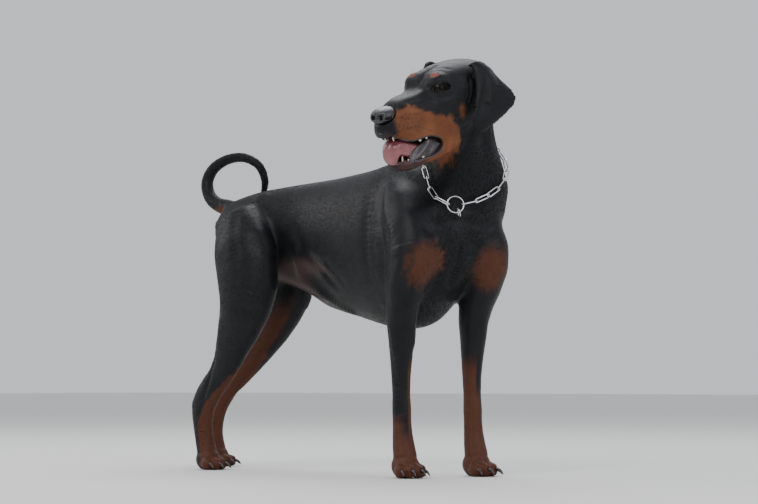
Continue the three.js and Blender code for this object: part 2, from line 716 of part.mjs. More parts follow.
// Paws come away at the pasterns.
const ankle = 58;
for (const [name, paw] of Object.entries(paws)) {
  const block = new THREE.BoxGeometry(170, 120, ankle).translate(paw.at.x, paw.at.y, ankle / 2);
  let piece = flesh.intersect(solid(block));
  const tall = new THREE.BoxGeometry(172, 122, ankle + gap + 2).translate(paw.at.x, paw.at.y, (ankle + gap) / 2 - 1);
  flesh = flesh.subtract(solid(tall));
  const frame = pawFrame(paw);
  toes.forEach((toe, k) => {
    const horn = claw(paw, toe).subtract(beyond(v3(0, 0, 0), v3(0, 0, -1)));
    piece = piece.subtract(claw(paw, toe, gap));
    addPiece(`claw_${name.replace("paw", "")}_${k + 1}`, horn, hornBlack);
  });
  addPiece(name, piece, coatTan);
}

// Legs come away along a surface a little outside their own.
const legBorder = 12;
const legs = [["foreleg", foreLeg], ["hindleg", hindLeg]];
for (const [kind, leg] of legs) {
  for (const side of ["left", "right"]) {
    addPiece(`${kind}_${side}`, flesh.intersect(leg(side, legBorder)), coatBlack);
    flesh = flesh.subtract(leg(side, legBorder + gap));
  }
}

// Tail, in three lengths.
const rumpBlock = (back) => solid(new THREE.BoxGeometry(200, 108, 200).translate(back + 100, -26, 568));
const tailPiece = flesh.intersect(tail(3).subtract(rumpBlock(-358)));
flesh = flesh.subtract(tail(3 + gap).subtract(rumpBlock(-358 + gap)));
const lowTail = (z) => beyond(v3(0, 0, z), v3(0, 0, -1), 1400).intersect(beyond(v3(-336, 0, 0), v3(-1, 0, 0), 1600));
const tailLow = tailPiece.intersect(lowTail(706));
const [tailRise, tailTip] = parted(tailPiece.subtract(lowTail(706 + gap)), v3(-350, 36, 760), v3(1, 0.2, 0), 300);
addPiece("tail_root", tailLow, coatBlack);
addPiece("tail_middle", tailRise, coatBlack);
addPiece("tail_tip", tailTip, coatBlack);

const [torso, front] = parted(flesh, v3(312, -56, 650), v3(0.55, -0.19, 0.81), 900);
const [neckPiece, headPiece] = parted(front, onHead(-62, 0, -60), headWay(0.845, 0, 0.535), 700);
const belowLips = beyond(onHead(14, 0, -84), headWay(0.093, 0, -0.996), 400);
const aheadOfCheek = beyond(onHead(6, 0, -86), headWay(0.92, 0, -0.38), 400);
const jawPiece = headPiece.intersect(belowLips.intersect(aheadOfCheek));
const belowGap = beyond(onHead(14, 0, -84 + gap), headWay(0.093, 0, -0.996), 400);
const aheadGap = beyond(onHead(6 - gap, 0, -86), headWay(0.92, 0, -0.38), 400);
const facePiece = headPiece.subtract(belowGap.intersect(aheadGap));

addPiece("torso", torso, coatBlack);
addPiece("neck", neckPiece, coatBlack);
addPiece("head", facePiece, coatBlack);
addPiece("lower_jaw", jawPiece, coatTan);
addPiece("tongue", tongue(), wetPink);
addPiece("nose", noseBlock().subtract(nostrils()), leather);
for (const [side, sign] of [["left", 1], ["right", -1]]) {
  addPiece(`eye_${side}`, eyeball(sign), eyeBrown);
  addPiece(`ear_${side}`, ear(sign, sign > 0 ? 1 : 0.7), coatBlack);
}
layChain(foreBody);

export default dog;
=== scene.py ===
# Life-size black and tan guard dog: one skin under a short coat, its open mouth, eyes, claws and steel chain.
import math
import random

import bmesh
import bpy
import numpy as np
from mathutils import Matrix, Vector, noise
from mathutils.bvhtree import BVHTree


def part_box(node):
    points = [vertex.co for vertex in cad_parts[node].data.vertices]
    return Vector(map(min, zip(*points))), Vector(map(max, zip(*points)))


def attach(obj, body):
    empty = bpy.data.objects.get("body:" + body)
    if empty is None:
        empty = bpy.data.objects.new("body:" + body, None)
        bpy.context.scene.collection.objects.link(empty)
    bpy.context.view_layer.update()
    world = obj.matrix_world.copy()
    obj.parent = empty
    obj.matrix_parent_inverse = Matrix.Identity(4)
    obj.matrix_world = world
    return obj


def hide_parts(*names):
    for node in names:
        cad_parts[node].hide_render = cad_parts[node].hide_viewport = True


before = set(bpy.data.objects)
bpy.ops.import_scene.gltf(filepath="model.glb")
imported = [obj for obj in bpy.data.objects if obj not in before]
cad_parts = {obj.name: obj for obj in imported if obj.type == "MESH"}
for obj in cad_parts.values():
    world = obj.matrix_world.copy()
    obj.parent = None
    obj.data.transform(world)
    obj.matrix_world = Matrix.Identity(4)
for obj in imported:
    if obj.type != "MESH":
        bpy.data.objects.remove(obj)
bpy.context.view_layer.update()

random.seed(11)
mm = 0.001
sides = {"left": 1, "right": -1}

# The head has a frame of its own: x to the nose, y to its left, z up, in head millimetres from between the eyes.
headValues = {
    "origin": (0.3463, -0.0793, 0.7847),
    "yaw": -96.9,
    "pitch": 19,
    "roll": -7,
    "scale": 1.2046 * mm,
}


def headFrame():
    v = headValues
    turn = Matrix.Rotation(math.radians(v["yaw"]), 4, "Z")
    turn = turn @ Matrix.Rotation(math.radians(v["pitch"]), 4, "Y")
    turn = turn @ Matrix.Rotation(math.radians(v["roll"]), 4, "X")
    return Matrix.Translation(v["origin"]) @ turn @ Matrix.Scale(v["scale"], 4)


headPlace = headFrame()
headBack = headPlace.inverted()


def onHead(x, y, z):
    return headPlace @ Vector((x, y, z))


def headWay(x, y, z):
    return (headPlace.to_3x3() @ Vector((x, y, z))).normalized()


# Camera at the photograph's angle: it looks slightly up from near the ground, at the dog's right front.
cameraValues = {
    "aim": (-0.009, 0.1012),
    "azimuth": 38,
    "distance": 4.085,
    "height": 0.19,
    "pitch": 4.11,
    "focalPixels": 1850,
    "asidePixels": 34,  # the aim stands this far left of the picture's middle
    "imageWidth": 758,
}


def setCamera():
    v = cameraValues
    turn = math.radians(v["azimuth"])
    back = Vector((math.sin(turn), -math.cos(turn), 0))
    right = Vector((math.cos(turn), math.sin(turn), 0))
    spot = Vector((*v["aim"], v["height"])) + back * v["distance"]
    spot += right * v["asidePixels"] / v["focalPixels"] * v["distance"]
    lens = bpy.data.cameras.new("camera")
    lens.sensor_width = 36
    lens.lens = v["focalPixels"] / v["imageWidth"] * lens.sensor_width
    camera = placed("camera", lens)
    camera.location = spot
    camera.rotation_euler = (math.radians(90 + v["pitch"]), 0, turn)
    bpy.context.scene.camera = camera


# Pale floor and soft light
stageValues = {
    "floorSize": 60,
    "floorColour": (0.72, 0.72, 0.70, 1),
    "floorRoughness": 0.9,
    "skyColour": (0.86, 0.88, 0.92, 1),
    "skyStrength": 0.85,
    "lampAim": (0, 0, 0.4),
    # name: place, size, power, colour
    "lamps": {
        "key": ((0.6, -3.6, 3.4), 2.6, 95, (1, 0.97, 0.93)),
        "fill": ((3.8, -0.4, 1.8), 2.4, 36, (0.93, 0.96, 1)),
        "top": ((-0.8, 1.6, 3.8), 2.6, 80, (0.95, 0.97, 1)),
        "rear": ((-3.6, -1.2, 2.2), 2.2, 36, (1, 0.98, 0.95)),
    },
}


def setStage():
    v = stageValues
    bm = bmesh.new()
    bmesh.ops.create_grid(bm, x_segments=1, y_segments=1, size=v["floorSize"] / 2)
    floor = pieceFrom("floor", bm)
    floor.data.materials.append(newMaterial("floor", v["floorColour"], v["floorRoughness"])[0])
    world = bpy.data.worlds.new("world")
    bpy.context.scene.world = world
    world.use_nodes = True
    sky = world.node_tree.nodes["Background"]
    sky.inputs["Color"].default_value = v["skyColour"]
    sky.inputs["Strength"].default_value = v["skyStrength"]
    for name, (place, size, power, colour) in v["lamps"].items():
        lamp = bpy.data.lights.new(name, "AREA")
        lamp.size = size
        lamp.energy = power
        lamp.color = colour
        holder = placed(name, lamp)
        holder.location = place
        holder.rotation_euler = (Vector(place) - Vector(v["lampAim"])).to_track_quat("Z", "Y").to_euler()


# Making pieces


def placed(name, data):
    piece = bpy.data.objects.new(name, data)
    bpy.context.collection.objects.link(piece)
    return piece


def pieceFrom(name, bm):
    mesh = bpy.data.meshes.new(name)
    bm.to_mesh(mesh)
    bm.free()
    return placed(name, mesh)


def dress(piece, material, replaced=()):
    piece.data.materials.append(material)
    piece.data.polygons.foreach_set("use_smooth", [True] * len(piece.data.polygons))
    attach(piece, "root")
    if replaced:
        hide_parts(*replaced)
    return piece


def applyModifiers(piece):
    graph = bpy.context.evaluated_depsgraph_get()
    done = bpy.data.meshes.new_from_object(piece.evaluated_get(graph))
    piece.modifiers.clear()
    old = piece.data
    piece.data = done
    done.name = piece.name
    bpy.data.meshes.remove(old)


def numbersOf(items, key, width, kind=float):
    flat = np.zeros(len(items) * width, kind)
    items.foreach_get(key, flat)
    return flat.reshape(-1, width)


def coordsOf(mesh):
    return numbersOf(mesh.vertices, "co", 3)


def setCoords(mesh, coords):
    mesh.vertices.foreach_set("co", coords.ravel())
    mesh.update()


def normalsOf(mesh):
    return numbersOf(mesh.vertex_normals, "vector", 3)


def edgesOf(mesh):
    return numbersOf(mesh.edges, "vertices", 2, np.int32)


def fade(value, low, high):
    # 0 at low and 1 at high, easing in and out
    t = np.clip((value - low) / (high - low), 0, 1)
    return t * t * (3 - 2 * t)


def byStops(value, stops):
    # runs straight from stop to stop, each a place and what it holds there
    return np.interp(value, *zip(*stops))


def setAttribute(mesh, name, values):
    layer = mesh.attributes.get(name) or mesh.attributes.new(name, "FLOAT", "POINT")
    layer.data.foreach_set("value", np.ascontiguousarray(values, np.float32))


# Shader helpers


def newMaterial(name, colour, roughness, metallic=0.0):
    material = bpy.data.materials.new(name)
    material.use_nodes = True
    shader = material.node_tree.nodes["Principled BSDF"]
    shader.inputs["Base Color"].default_value = colour
    shader.inputs["Roughness"].default_value = roughness
    shader.inputs["Metallic"].default_value = metallic
    return material, shader


# Skin: the flesh pieces run together into one surface, smoothed and drawn in by the coat's depth.
skinValues = {
    "voxel": 2.3 * mm,
    "quickVoxel": 4.5 * mm,
    "swell": 0.3 * mm,  # closes the thin cuts between the pieces
    "coatDepth": 1.1 * mm,
    "triangles": 190000,
    "rounds": 150,
    "weightRounds": 30,
    # share of the trunk's smoothing: low on a leg, high on it, and the levels between which it changes
    "forelegWeights": (0.14, 0.85, 0.28, 0.46),
    "hindlegWeights": (0.14, 0.85, 0.22, 0.42),
    "headWeight": 0.2,
    "jawWeight": 0.12,
    "lipWeight": 0.05,
    "mouthWeight": 0.4,
    "earWeight": 0.09,
    "lipStart": 8,  # the lips' smoothing begins this far along the head, and reaches this far from the mouth's middle
    "lipReach": 26,
    "pawWeight": 0.05,
    "tailWeight": 0.14,
}
legNames = [f"{end}{part}_{side}" for end in ("fore", "hind") for part in ("leg", "paw") for side in sides]
earNames = ["ear_left", "ear_right"]
tailNames = ["tail_root", "tail_middle", "tail_tip"]
fleshNames = ["torso", "neck", "head", "lower_jaw"] + tailNames + earNames + legNames


def cleanCopy(name, swell=0):
    bm = bmesh.new()
    bm.from_mesh(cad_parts[name].data)
    bmesh.ops.remove_doubles(bm, verts=bm.verts, dist=0.01 * mm)
    bm.normal_update()
    for vert in bm.verts:
        vert.co += vert.normal * swell
    return bm


def mergeInto(whole, part):
    holder = bpy.data.meshes.new("part")
    part.to_mesh(holder)
    part.free()
    whole.from_mesh(holder)
    bpy.data.meshes.remove(holder)


def joinCopies(names, swell=0):
    whole = bmesh.new()
    for name in names:
        mergeInto(whole, cleanCopy(name, swell))
    return whole


def remeshed(name, names, voxel, swell=0):
    piece = pieceFrom(name, joinCopies(names, swell))
    remesh = piece.modifiers.new("remesh", "REMESH")
    remesh.mode = "VOXEL"
    remesh.voxel_size = voxel
    applyModifiers(piece)
    return piece


def spread(values, edges, weight, rounds, step=0.8):
    # draws every point's values towards the mean of its neighbours, by its weight
    a, b = edges[:, 0], edges[:, 1]
    count = len(values)
    degree = np.maximum(np.bincount(a, minlength=count) + np.bincount(b, minlength=count), 1)
    share = (step * weight)[:, None]
    for _ in range(rounds):
        mean = np.empty_like(values)
        for k in range(values.shape[1]):
            total = np.bincount(a, values[b, k], count) + np.bincount(b, values[a, k], count)
            mean[:, k] = total / degree
        values = values + (mean - values) * share
    return values


def relax(coords, edges, weight, rounds):
    # smooths, and gives back the broad part of what smoothing took away
    smooth = spread(coords, edges, weight, rounds)
    return smooth + spread(coords - smooth, edges, weight, rounds)


def nearestNode(points):
    # the flesh node that each point lies nearest to
    corners, faces, owner = [], [], []
    for index, name in enumerate(fleshNames):
        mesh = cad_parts[name].data
        base = len(corners)
        corners += [v.co.copy() for v in mesh.vertices]
        faces += [[base + i for i in poly.vertices] for poly in mesh.polygons]
        owner += [index] * len(mesh.polygons)
    tree = BVHTree.FromPolygons(corners, faces)
    return np.array([owner[tree.find_nearest(Vector(p))[2]] for p in points])


def inRegion(region, *names):
    return np.isin(region, [fleshNames.index(n) for n in names])


def toHead(points):
    return points @ np.array(headBack.to_3x3()).T + np.array(headBack.translation)


# The mouth, in the head's frame: heights of the upper and lower lip, and how far out the lips lie, along the head.
lipValues = {
    "upper": [(14, -86), (19, -77), (37, -69), (53, -69), (66, -71), (82, -69), (97, -63), (105, -58), (121, -43)],
    "lower": [(14, -87), (22, -95), (34, -99), (52, -100), (67, -98), (82, -97), (100, -96), (112, -95)],
    "outer": [(14, 38), (37, 37), (53, 35), (66, 33), (82, 30), (97, 24), (105, 12), (114, 4), (121, 0)],
    "range": (15, 118),
    "palate": 24,
    "floor": 16,
    "lipThickness": 4.5,
}


def lipAt(name, x):
    return float(byStops(x, lipValues[name]))


def along(points, name):
    return byStops(points[:, 0], lipValues[name])


def insideMouth(local, facing=0):
    # 1 for the lining of the mouth, 0 outside the lips; facing is how far the surface faces up in the head's frame
    v = lipValues
    x, y, z = local.T
    upper, lower = along(local, "upper"), along(local, "lower")
    inside = (x > v["range"][0]) & (x < v["range"][1]) & (z < upper + v["palate"]) & (z > lower - v["floor"])
    inside &= (z > lower - 1) | (facing > 0.15)
    return (inside & (np.abs(y) < along(local, "outer") - v["lipThickness"])).astype(float)


def smoothingWeight(region, coords, local):
    # the trunk is smoothed most, the toes, ears and lips least
    v = skinValues
    weight = np.full(len(region), 1.0)
    for end in ("fore", "hind"):
        low, high, bottom, top = v[f"{end}legWeights"]
        byLevel = low + (high - low) * fade(coords[:, 2], bottom, top)
        weight = np.where(inRegion(region, f"{end}leg_left", f"{end}leg_right"), byLevel, weight)
    weight[inRegion(region, "head")] = v["headWeight"]
    weight[inRegion(region, "lower_jaw")] = v["jawWeight"]
    headSkin = inRegion(region, "head", "lower_jaw")
    middle = (along(local, "upper") + along(local, "lower")) / 2
    nearLips = (np.abs(local[:, 2] - middle) < v["lipReach"]) & (local[:, 0] > v["lipStart"])
    weight[headSkin & nearLips] = v["lipWeight"]
    weight[headSkin & (insideMouth(local) > 0.5)] = v["mouthWeight"]
    weight[inRegion(region, *earNames)] = v["earWeight"]
    weight[inRegion(region, *[n for n in legNames if "paw" in n])] = v["pawWeight"]
    weight[inRegion(region, *tailNames)] = v["tailWeight"]
    return weight


# Muscles, bones and folds: a place or a line on the body seen from its right side, ahead and up in metres,
# then half the width of the mark and how far it stands out, or, below zero, how far it is pressed in, in mm.
bodyMarks = {
    "shoulderBlade": ([(0.195, 0.63), (0.225, 0.56), (0.275, 0.49)], 13, 3),
    "behindShoulder": ([(0.150, 0.60), (0.155, 0.50), (0.160, 0.41)], 15, -3.5),
    "shoulderPoint": ([(0.295, 0.475), (0.30, 0.455)], 20, 3),
    "tricepsFront": ([(0.255, 0.52), (0.245, 0.45), (0.235, 0.39)], 9, -2.5),
    "triceps": ([(0.190, 0.52), (0.190, 0.45), (0.195, 0.40)], 20, 3),
    "upperArm": ([(0.295, 0.44), (0.268, 0.40), (0.248, 0.36)], 11, 2),
    "elbow": ([(0.185, 0.365), (0.192, 0.350)], 13, 3.5),
    "forearm": ([(0.235, 0.33), (0.246, 0.25)], 13, 2),
    "forearmLine": ([(0.232, 0.31), (0.242, 0.22), (0.252, 0.14)], 4, -1.3),
    "wrist": ([(0.258, 0.130), (0.262, 0.115)], 12, 1.6),
    "ribArch": ([(0.06, 0.40), (-0.02, 0.44), (-0.08, 0.50), (-0.10, 0.55)], 16, -3),
    "flankFold": ([(-0.085, 0.52), (-0.105, 0.47), (-0.115, 0.43)], 9, 3),
    "hipBone": ([(-0.205, 0.625), (-0.225, 0.61)], 16, 3),
    "seatBone": ([(-0.335, 0.565), (-0.342, 0.550)], 15, 3),
    "thighBack": ([(-0.312, 0.54), (-0.290, 0.46), (-0.272, 0.39), (-0.262, 0.34)], 9, -3),
    "thighMiddle": ([(-0.245, 0.60), (-0.215, 0.52), (-0.190, 0.45)], 13, -2),
    "knee": ([(-0.160, 0.395), (-0.170, 0.365)], 15, 2.5),
    "calf": ([(-0.262, 0.34), (-0.275, 0.27)], 14, 2),
    "heelHollow": ([(-0.285, 0.255), (-0.305, 0.20), (-0.325, 0.155)], 6, -3.5),
    "instep": ([(-0.322, 0.12), (-0.328, 0.065)], 4, -1.3),
}
ribValues = {
    "count": 8,
    "first": 0.115,
    "step": 0.031,
    "line": [(0, 0.60), (-0.022, 0.52), (-0.012, 0.43)],
    "wide": 6,
    "deep": -0.45,
}
# the left legs stand further ahead, or back, than the right ones by this much at the ground
stanceShift = {"fore": (0.071, 0.45), "hind": (-0.100, 0.52)}
# lines given as places near the skin, in metres
frontMarks = {
    "chestCrease": ([(0.378, 0.004, 0.47), (0.374, 0.008, 0.43), (0.362, 0.012, 0.36)], 7, -8),
    "chestRight": ([(0.352, -0.055, 0.50), (0.352, -0.035, 0.45), (0.345, -0.03, 0.39)], 20, 5),
    "chestLeft": ([(0.400, 0.06, 0.50), (0.392, 0.055, 0.45), (0.380, 0.05, 0.39)], 20, 5),
    "chestTop": ([(0.352, -0.075, 0.515), (0.385, -0.01, 0.525), (0.408, 0.07, 0.51)], 12, -3),
    "sheath": ([(-0.075, 0.088, 0.40), (-0.01, 0.078, 0.38), (0.06, 0.07, 0.355)], 12, 6),
    "skinFold": ([(-0.02, 0.02, 0.45), (0.02, 0.018, 0.425), (0.05, 0.017, 0.40)], 7, 3),
    "foldHollow": ([(-0.05, 0.03, 0.43), (-0.01, 0.03, 0.41), (0.03, 0.028, 0.39)], 10, -3),
    "backLine": ([(0.10, 0.055, 0.68), (-0.05, 0.075, 0.66), (-0.22, 0.09, 0.64)], 10, -1.6),
}
# lines on the head in its own frame, on both sides
headMarks = {
    "browRidge": ([(22, 24, 14), (8, 33, 25), (-10, 38, 28)], 6, 2.2),
    "underEye": ([(26, 31, 1), (8, 43, -9), (-12, 49, -8)], 5, -1.4),
    "cheekBone": ([(14, 42, -14), (-12, 50, -18), (-38, 54, -14)], 7, 1.8),
    "muzzleSide": ([(30, 28, 2), (50, 22, -4), (78, 16, -8)], 6, -1.6),
    "muzzlePad": ([(52, 33, -48), (78, 29, -45), (98, 22, -42)], 12, 1.8),
    "padLine": ([(40, 34, -52), (62, 32, -36), (86, 24, -28)], 3, -0.9),
    "jawMuscle": ([(-22, 48, -48), (-30, 44, -72)], 17, 2.6),
    "cornerFold": ([(10, 41, -70), (4, 41, -86), (8, 38, -102)], 3.5, -1.8),
    "cornerRoll": ([(3, 43, -66), (-4, 42, -86), (0, 38, -106)], 4, 1.4),
    "earGap": ([(-62, 50, 33), (-58, 56, 12), (-50, 60, -14), (-36, 62, -38)], 4, -4.5),
    "earFold": ([(-80, 62, 30), (-72, 78, 5), (-66, 84, -20), (-50, 80, -60)], 9, 1.6),
    "earHollow": ([(-98, 68, 24), (-94, 82, -5), (-88, 88, -34)], 9, -1.8),
    "temple": ([(-22, 42, 14), (-42, 46, 8)], 9, -2),
    "foreheadDip": ([(24, 0, 20), (-4, 0, 34), (-40, 0, 44)], 5, -2),
    "wrinkleLow": ([(-4, 12, 34), (-14, 24, 36), (-22, 36, 28)], 2.4, -0.6),
    "wrinkleHigh": ([(-16, 8, 40), (-28, 22, 42), (-36, 36, 36)], 2.4, -0.9),
    "browKnit": ([(10, 5, 27), (0, 9, 33), (-8, 12, 37)], 2.4, -0.7),
    "nostrilFold": ([(104, 10, -14), (98, 15, -24), (98, 16, -36)], 3, -1.2),
    "chinFold": ([(72, 27, -104), (88, 16, -112), (96, 0, -114)], 3.5, -1),
}


def rounded(stops, parts=8):
    # a smooth line through the stops
    line = []
    for k in range(len(stops) - 1):
        before, start = stops[max(k - 1, 0)], stops[k]
        end, after = stops[k + 1], stops[min(k + 2, len(stops) - 1)]
        for i in range(parts):
            t = i / parts
            bend = start * 2 + (end - before) * t + (before * 2 - start * 5 + end * 4 - after) * t * t
            line.append((bend + (start * 3 - before - end * 3 + after) * t ** 3) * 0.5)
    return line + [stops[-1]]


def surfaceTree(mesh):
    return BVHTree.FromPolygons([v.co.copy() for v in mesh.vertices], [list(p.vertices) for p in mesh.polygons])


def headHits(tree, stops, sign=1):
    return [tree.find_nearest(p) for p in rounded([onHead(x, y * sign, z) for x, y, z in stops])]


def press(coords, normals, hits, wide, deep, ends=0.25):
    # raises or presses in a band of the surface along a line of places and normals
    if not hits:
        return
    path = np.array([h[0] for h in hits])
    facing = np.array([h[1] for h in hits])
    margin = wide * 2.6
    near = np.where(((coords > path.min(0) - margin) & (coords < path.max(0) + margin)).all(1))[0]
    if not len(near):
        return
    away = ((coords[near][:, None, :] - path[None]) ** 2).sum(2)
    at = away.argmin(1)
    t = at / max(len(path) - 1, 1)
    taper = np.minimum(fade(t, -0.15, ends), fade(1 - t, -0.15, ends))
    same = fade((normals[near] * facing[at]).sum(1), 0, 0.5)
    strength = deep * np.exp(-away[np.arange(len(near)), at] / wide ** 2) * taper * same
    coords[near] += normals[near] * strength[:, None]


def sculpt(skin):
    tree = surfaceTree(skin.data)
    coords, normals = coordsOf(skin.data), normalsOf(skin.data)

    def sideLine(stops, sign):
        hits = []
        for x, z in [tuple(p) for p in rounded([Vector(s) for s in stops])]:
            if sign > 0:
                shift, top = stanceShift["fore" if x > 0 else "hind"]
                x += shift * max(0, 1 - z / top)
            hit = tree.ray_cast(Vector((x, sign * 0.7, z)), Vector((0, -sign, 0)))
            if hit[0]:
                hits.append(hit)
        return hits

    for sign in sides.values():
        for stops, wide, deep in bodyMarks.values():
            press(coords, normals, sideLine(stops, sign), wide * mm, deep * mm)
        for k in range(ribValues["count"]):
            x = ribValues["first"] - k * ribValues["step"]
            stops = [(x + dx, z) for dx, z in ribValues["line"]]
            press(coords, normals, sideLine(stops, sign), ribValues["wide"] * mm, ribValues["deep"] * mm)
        for stops, wide, deep in headMarks.values():
            hits = headHits(tree, stops, sign)
            press(coords, normals, hits, wide * headValues["scale"], deep * headValues["scale"])
    for stops, wide, deep in frontMarks.values():
        hits = [tree.find_nearest(p) for p in rounded([Vector(s) for s in stops])]
        press(coords, normals, hits, wide * mm, deep * mm)
    setCoords(skin.data, coords)


# Eyes: the ball's middle and size come from its CAD node, the way it looks and the lids from the photograph.
eyeValues = {
    "look": (0.46, 0.85, 0.20),
    "innerCorner": (18, 36.5, 4),
    "outerCorner": (-12, 46, 1.5),
    "middle": (4, 42, 7.5),
    "upperLid": 8.0,
    "lowerLid": 5.4,
    "holeWide": 1.12,
    "holeTall": 1.15,
    "holeDepth": 3 * mm,
    "holeEdge": (0.75, 1.1),
    "bulge": 0.08,  # of the clear front, as a share of the ball's radius, and how far round it reaches
    "bulgeAngle": 0.75,
}


def eyeFrame(side):
    # middle and radius of the ball, the way it looks, and the ways along and up the lids, with their middle
    sign = sides[side]
    low, high = [Vector(c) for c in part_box(f"eye_{side}")]
    ball = (low + high) / 2
    radius = (high - low).length / 2 / math.sqrt(3)
    v = eyeValues
    flip = lambda p: (p[0], p[1] * sign, p[2])
    inner, outer, middle = (onHead(*flip(v[k])) for k in ("innerCorner", "outerCorner", "middle"))
    look = headWay(*flip(v["look"]))
    across = (inner - outer).normalized()
    across = (across - look * across.dot(look)).normalized()
    rise = look.cross(across).normalized()
    if rise.dot(headWay(0, 0, 1)) < 0:
        rise = -rise
    half = (inner - outer).dot(across) / 2
    middle = ball + across * ((inner + outer) / 2 - ball).dot(across) + rise * (middle - ball).dot(rise)
    return ball, radius, look, across, rise, middle, half


def openEyes(skin):
    # draws the skin in behind the eyeball where the lids are open
    coords = coordsOf(skin.data)
    scale = headValues["scale"]
    for side in sides:
        ball, radius, look, across, rise, middle, half = eyeFrame(side)
        away = coords - np.array(middle)
        u = away @ np.array(across) / (half * eyeValues["holeWide"])
        tall = np.where(away @ np.array(rise) > 0, eyeValues["upperLid"], eyeValues["lowerLid"]) * scale
        v = away @ np.array(rise) / (tall * eyeValues["holeTall"])
        ahead = (coords - np.array(ball)) @ np.array(look)
        share = 1 - fade(np.sqrt(u * u + v * v), *eyeValues["holeEdge"])
        share *= (ahead > -radius * 0.5) & (ahead < radius * 3)
        off = np.linalg.norm(coords - np.array(ball), axis=1)
        wanted = ahead - np.maximum(off - radius + eyeValues["holeDepth"], 0)
        coords -= ((ahead - wanted) * share)[:, None] * np.array(look)
    setCoords(skin.data, coords)


def makeSkin():
    v = skinValues
    voxel = v["voxel"]
    skin = remeshed("skin", fleshNames, voxel, v["swell"])
    coords, edges = coordsOf(skin.data), edgesOf(skin.data)
    print("skin remeshed", len(coords))
    region = nearestNode(coords)
    weight = smoothingWeight(region, coords, toHead(coords))
    share = (v["voxel"] / voxel) ** 2
    weight = spread(weight[:, None], edges, np.ones(len(weight)), int(v["weightRounds"] * share))[:, 0]
    coords = relax(coords, edges, weight, int(v["rounds"] * share))
    setCoords(skin.data, coords)
    setCoords(skin.data, coords - normalsOf(skin.data) * v["coatDepth"])
    sculpt(skin)
    openEyes(skin)
    thin = skin.modifiers.new("thin", "DECIMATE")
    thin.ratio = min(1, v["triangles"] / (2 * len(skin.data.polygons)))
    applyModifiers(skin)
    print("skin shaped", len(skin.data.polygons))
    return skin


# Markings: tan on the muzzle, cheeks, brows, chest, legs and under the tail, bare skin on the belly.
markValues = {
    # middle, reach to each side, up and down
    "chestSpots": [((0.328, -0.054, 0.435), (0.036, 0.036, 0.043)), ((0.393, 0.088, 0.430), (0.036, 0.034, 0.045))],
    "chestRough": 0.009,
    "chestEdge": (0.75, 2.6),  # share of the reach over which a spot fades, and how square it is
    "tailRough": 0.003,
    "underTail": ((-0.362, 0.088, 0.572), 0.032),
    # height of the tan's upper border, along the head
    "muzzleLine": [
        (-60, -200), (-31, -108), (-27, -76), (-13, -55), (6, -39), (30, -33), (48, -20), (74, -6), (101, -14),
    ],
    "muzzleFront": (-112, -102),
    "muzzleSides": (9, 15),
    "jawUnder": (84, 92),
    "jawFront": (-92, -80),
    "throat": (-156, -136),
    # how far back the tan reaches below the cheek, by height
    "throatBack": [(-175, 14), (-147, -6), (-130, -20), (-108, -31), (-60, -60)],
    # middle, reach, share of the reach over which it fades, and how uneven its border is
    "cheekSpot": ((-30, 49, -40), (6.5, 9, 13), 1.0, 1.5),
    "browSpot": ((0, 25.5, 28), (7.5, 8, 5.5), 0.4, 1.2),
    "cheekShare": 0.7,
    "chestTurn": -20,
    # middle and half the width of the black stripe across the leg, levels of the tan beside and below it
    "foreStripe": {
        "right": (0.05, 0.5, (0.135, 0.105), (0.095, 0.07)),
        "left": (0.75, 0.45, (0.20, 0.16), (0.13, 0.10)),
    },
    "stripeAhead": (0.85, 0.6),
    "foreInside": (0.0, 0.3),
    "foreInner": (0.255, 0.215),
    # how far ahead the tan begins on a hind leg, by level
    "hindBorder": [
        (0, -0.4), (0.05, -0.15), (0.1, 0.0), (0.135, 0.25), (0.175, 0.5), (0.225, 0.95), (0.30, 1.5),
    ],
    "hindTop": (0.34, 0.27),
    "hindInner": 1.1,  # how much further ahead the tan begins for a share outward
    "thighInner": (0.40, 0.33),
    "thighFrom": (0.45, 0.7),
    "belly": ((-0.10, 0.085, 0.43), (0.13, 0.055, 0.06)),
    "bellyFacing": (0.15, 0.6),
    "deepTan": (0.9, 0.5),  # on the legs, and on the trunk
    "lipBand": 3.2,
    "wobble": (90, 260),  # scales of the unevenness of every border
    # roots of the whiskers show as dark dots
    "dots": {"x": (62, 70, 78, 86, 94, 102), "z": (-22, -29, -36, -43), "size": 1.7, "dark": 0.75},
    "chin": (44, 58),
    "chinDark": 0.85,
}


markNames = ("tan", "bright", "deep", "bare", "lip", "lining")


def within(points, centre, radii, edge=0.3, power=2):
    # 1 inside an ellipsoid, falling to 0 over the edge, a share of its radius
    away = (np.abs((points - np.array(centre)) / np.array(radii)) ** power).sum(1) ** (1 / power)
    return 1 - fade(away, 1 - edge / 2, 1 + edge / 2)


def below(level, high, low):
    return 1 - fade(level, low, high)


def legFrame(points, chosen, forward, outward, step=0.012):
    # how far forward and outward each point of a leg lies from its middle, from -1 to 1, by level
    rows = np.arange(80)
    height = points[:, 2] / step
    level = np.clip(height.astype(int), 0, len(rows) - 1)
    result = np.zeros((len(points), 2))
    for axis, way in enumerate((forward, outward)):
        reach = points @ np.array([*way, 0])
        low, high = np.full(len(rows), np.nan), np.full(len(rows), np.nan)
        for k in rows:
            here = reach[chosen & (level == k)]
            if len(here):
                low[k], high[k] = here.min(), here.max()
        known = ~np.isnan(low)
        ends = []
        for values in (low, high):
            values = np.interp(rows, rows[known], values[known])
            values = np.convolve(np.pad(values, 2, "edge"), [0.1, 0.2, 0.4, 0.2, 0.1], "valid")
            ends.append(np.interp(height - 0.5, rows, values))
        result[:, axis] = (reach - (ends[0] + ends[1]) / 2) / np.maximum((ends[1] - ends[0]) / 2, 0.004)
    return result


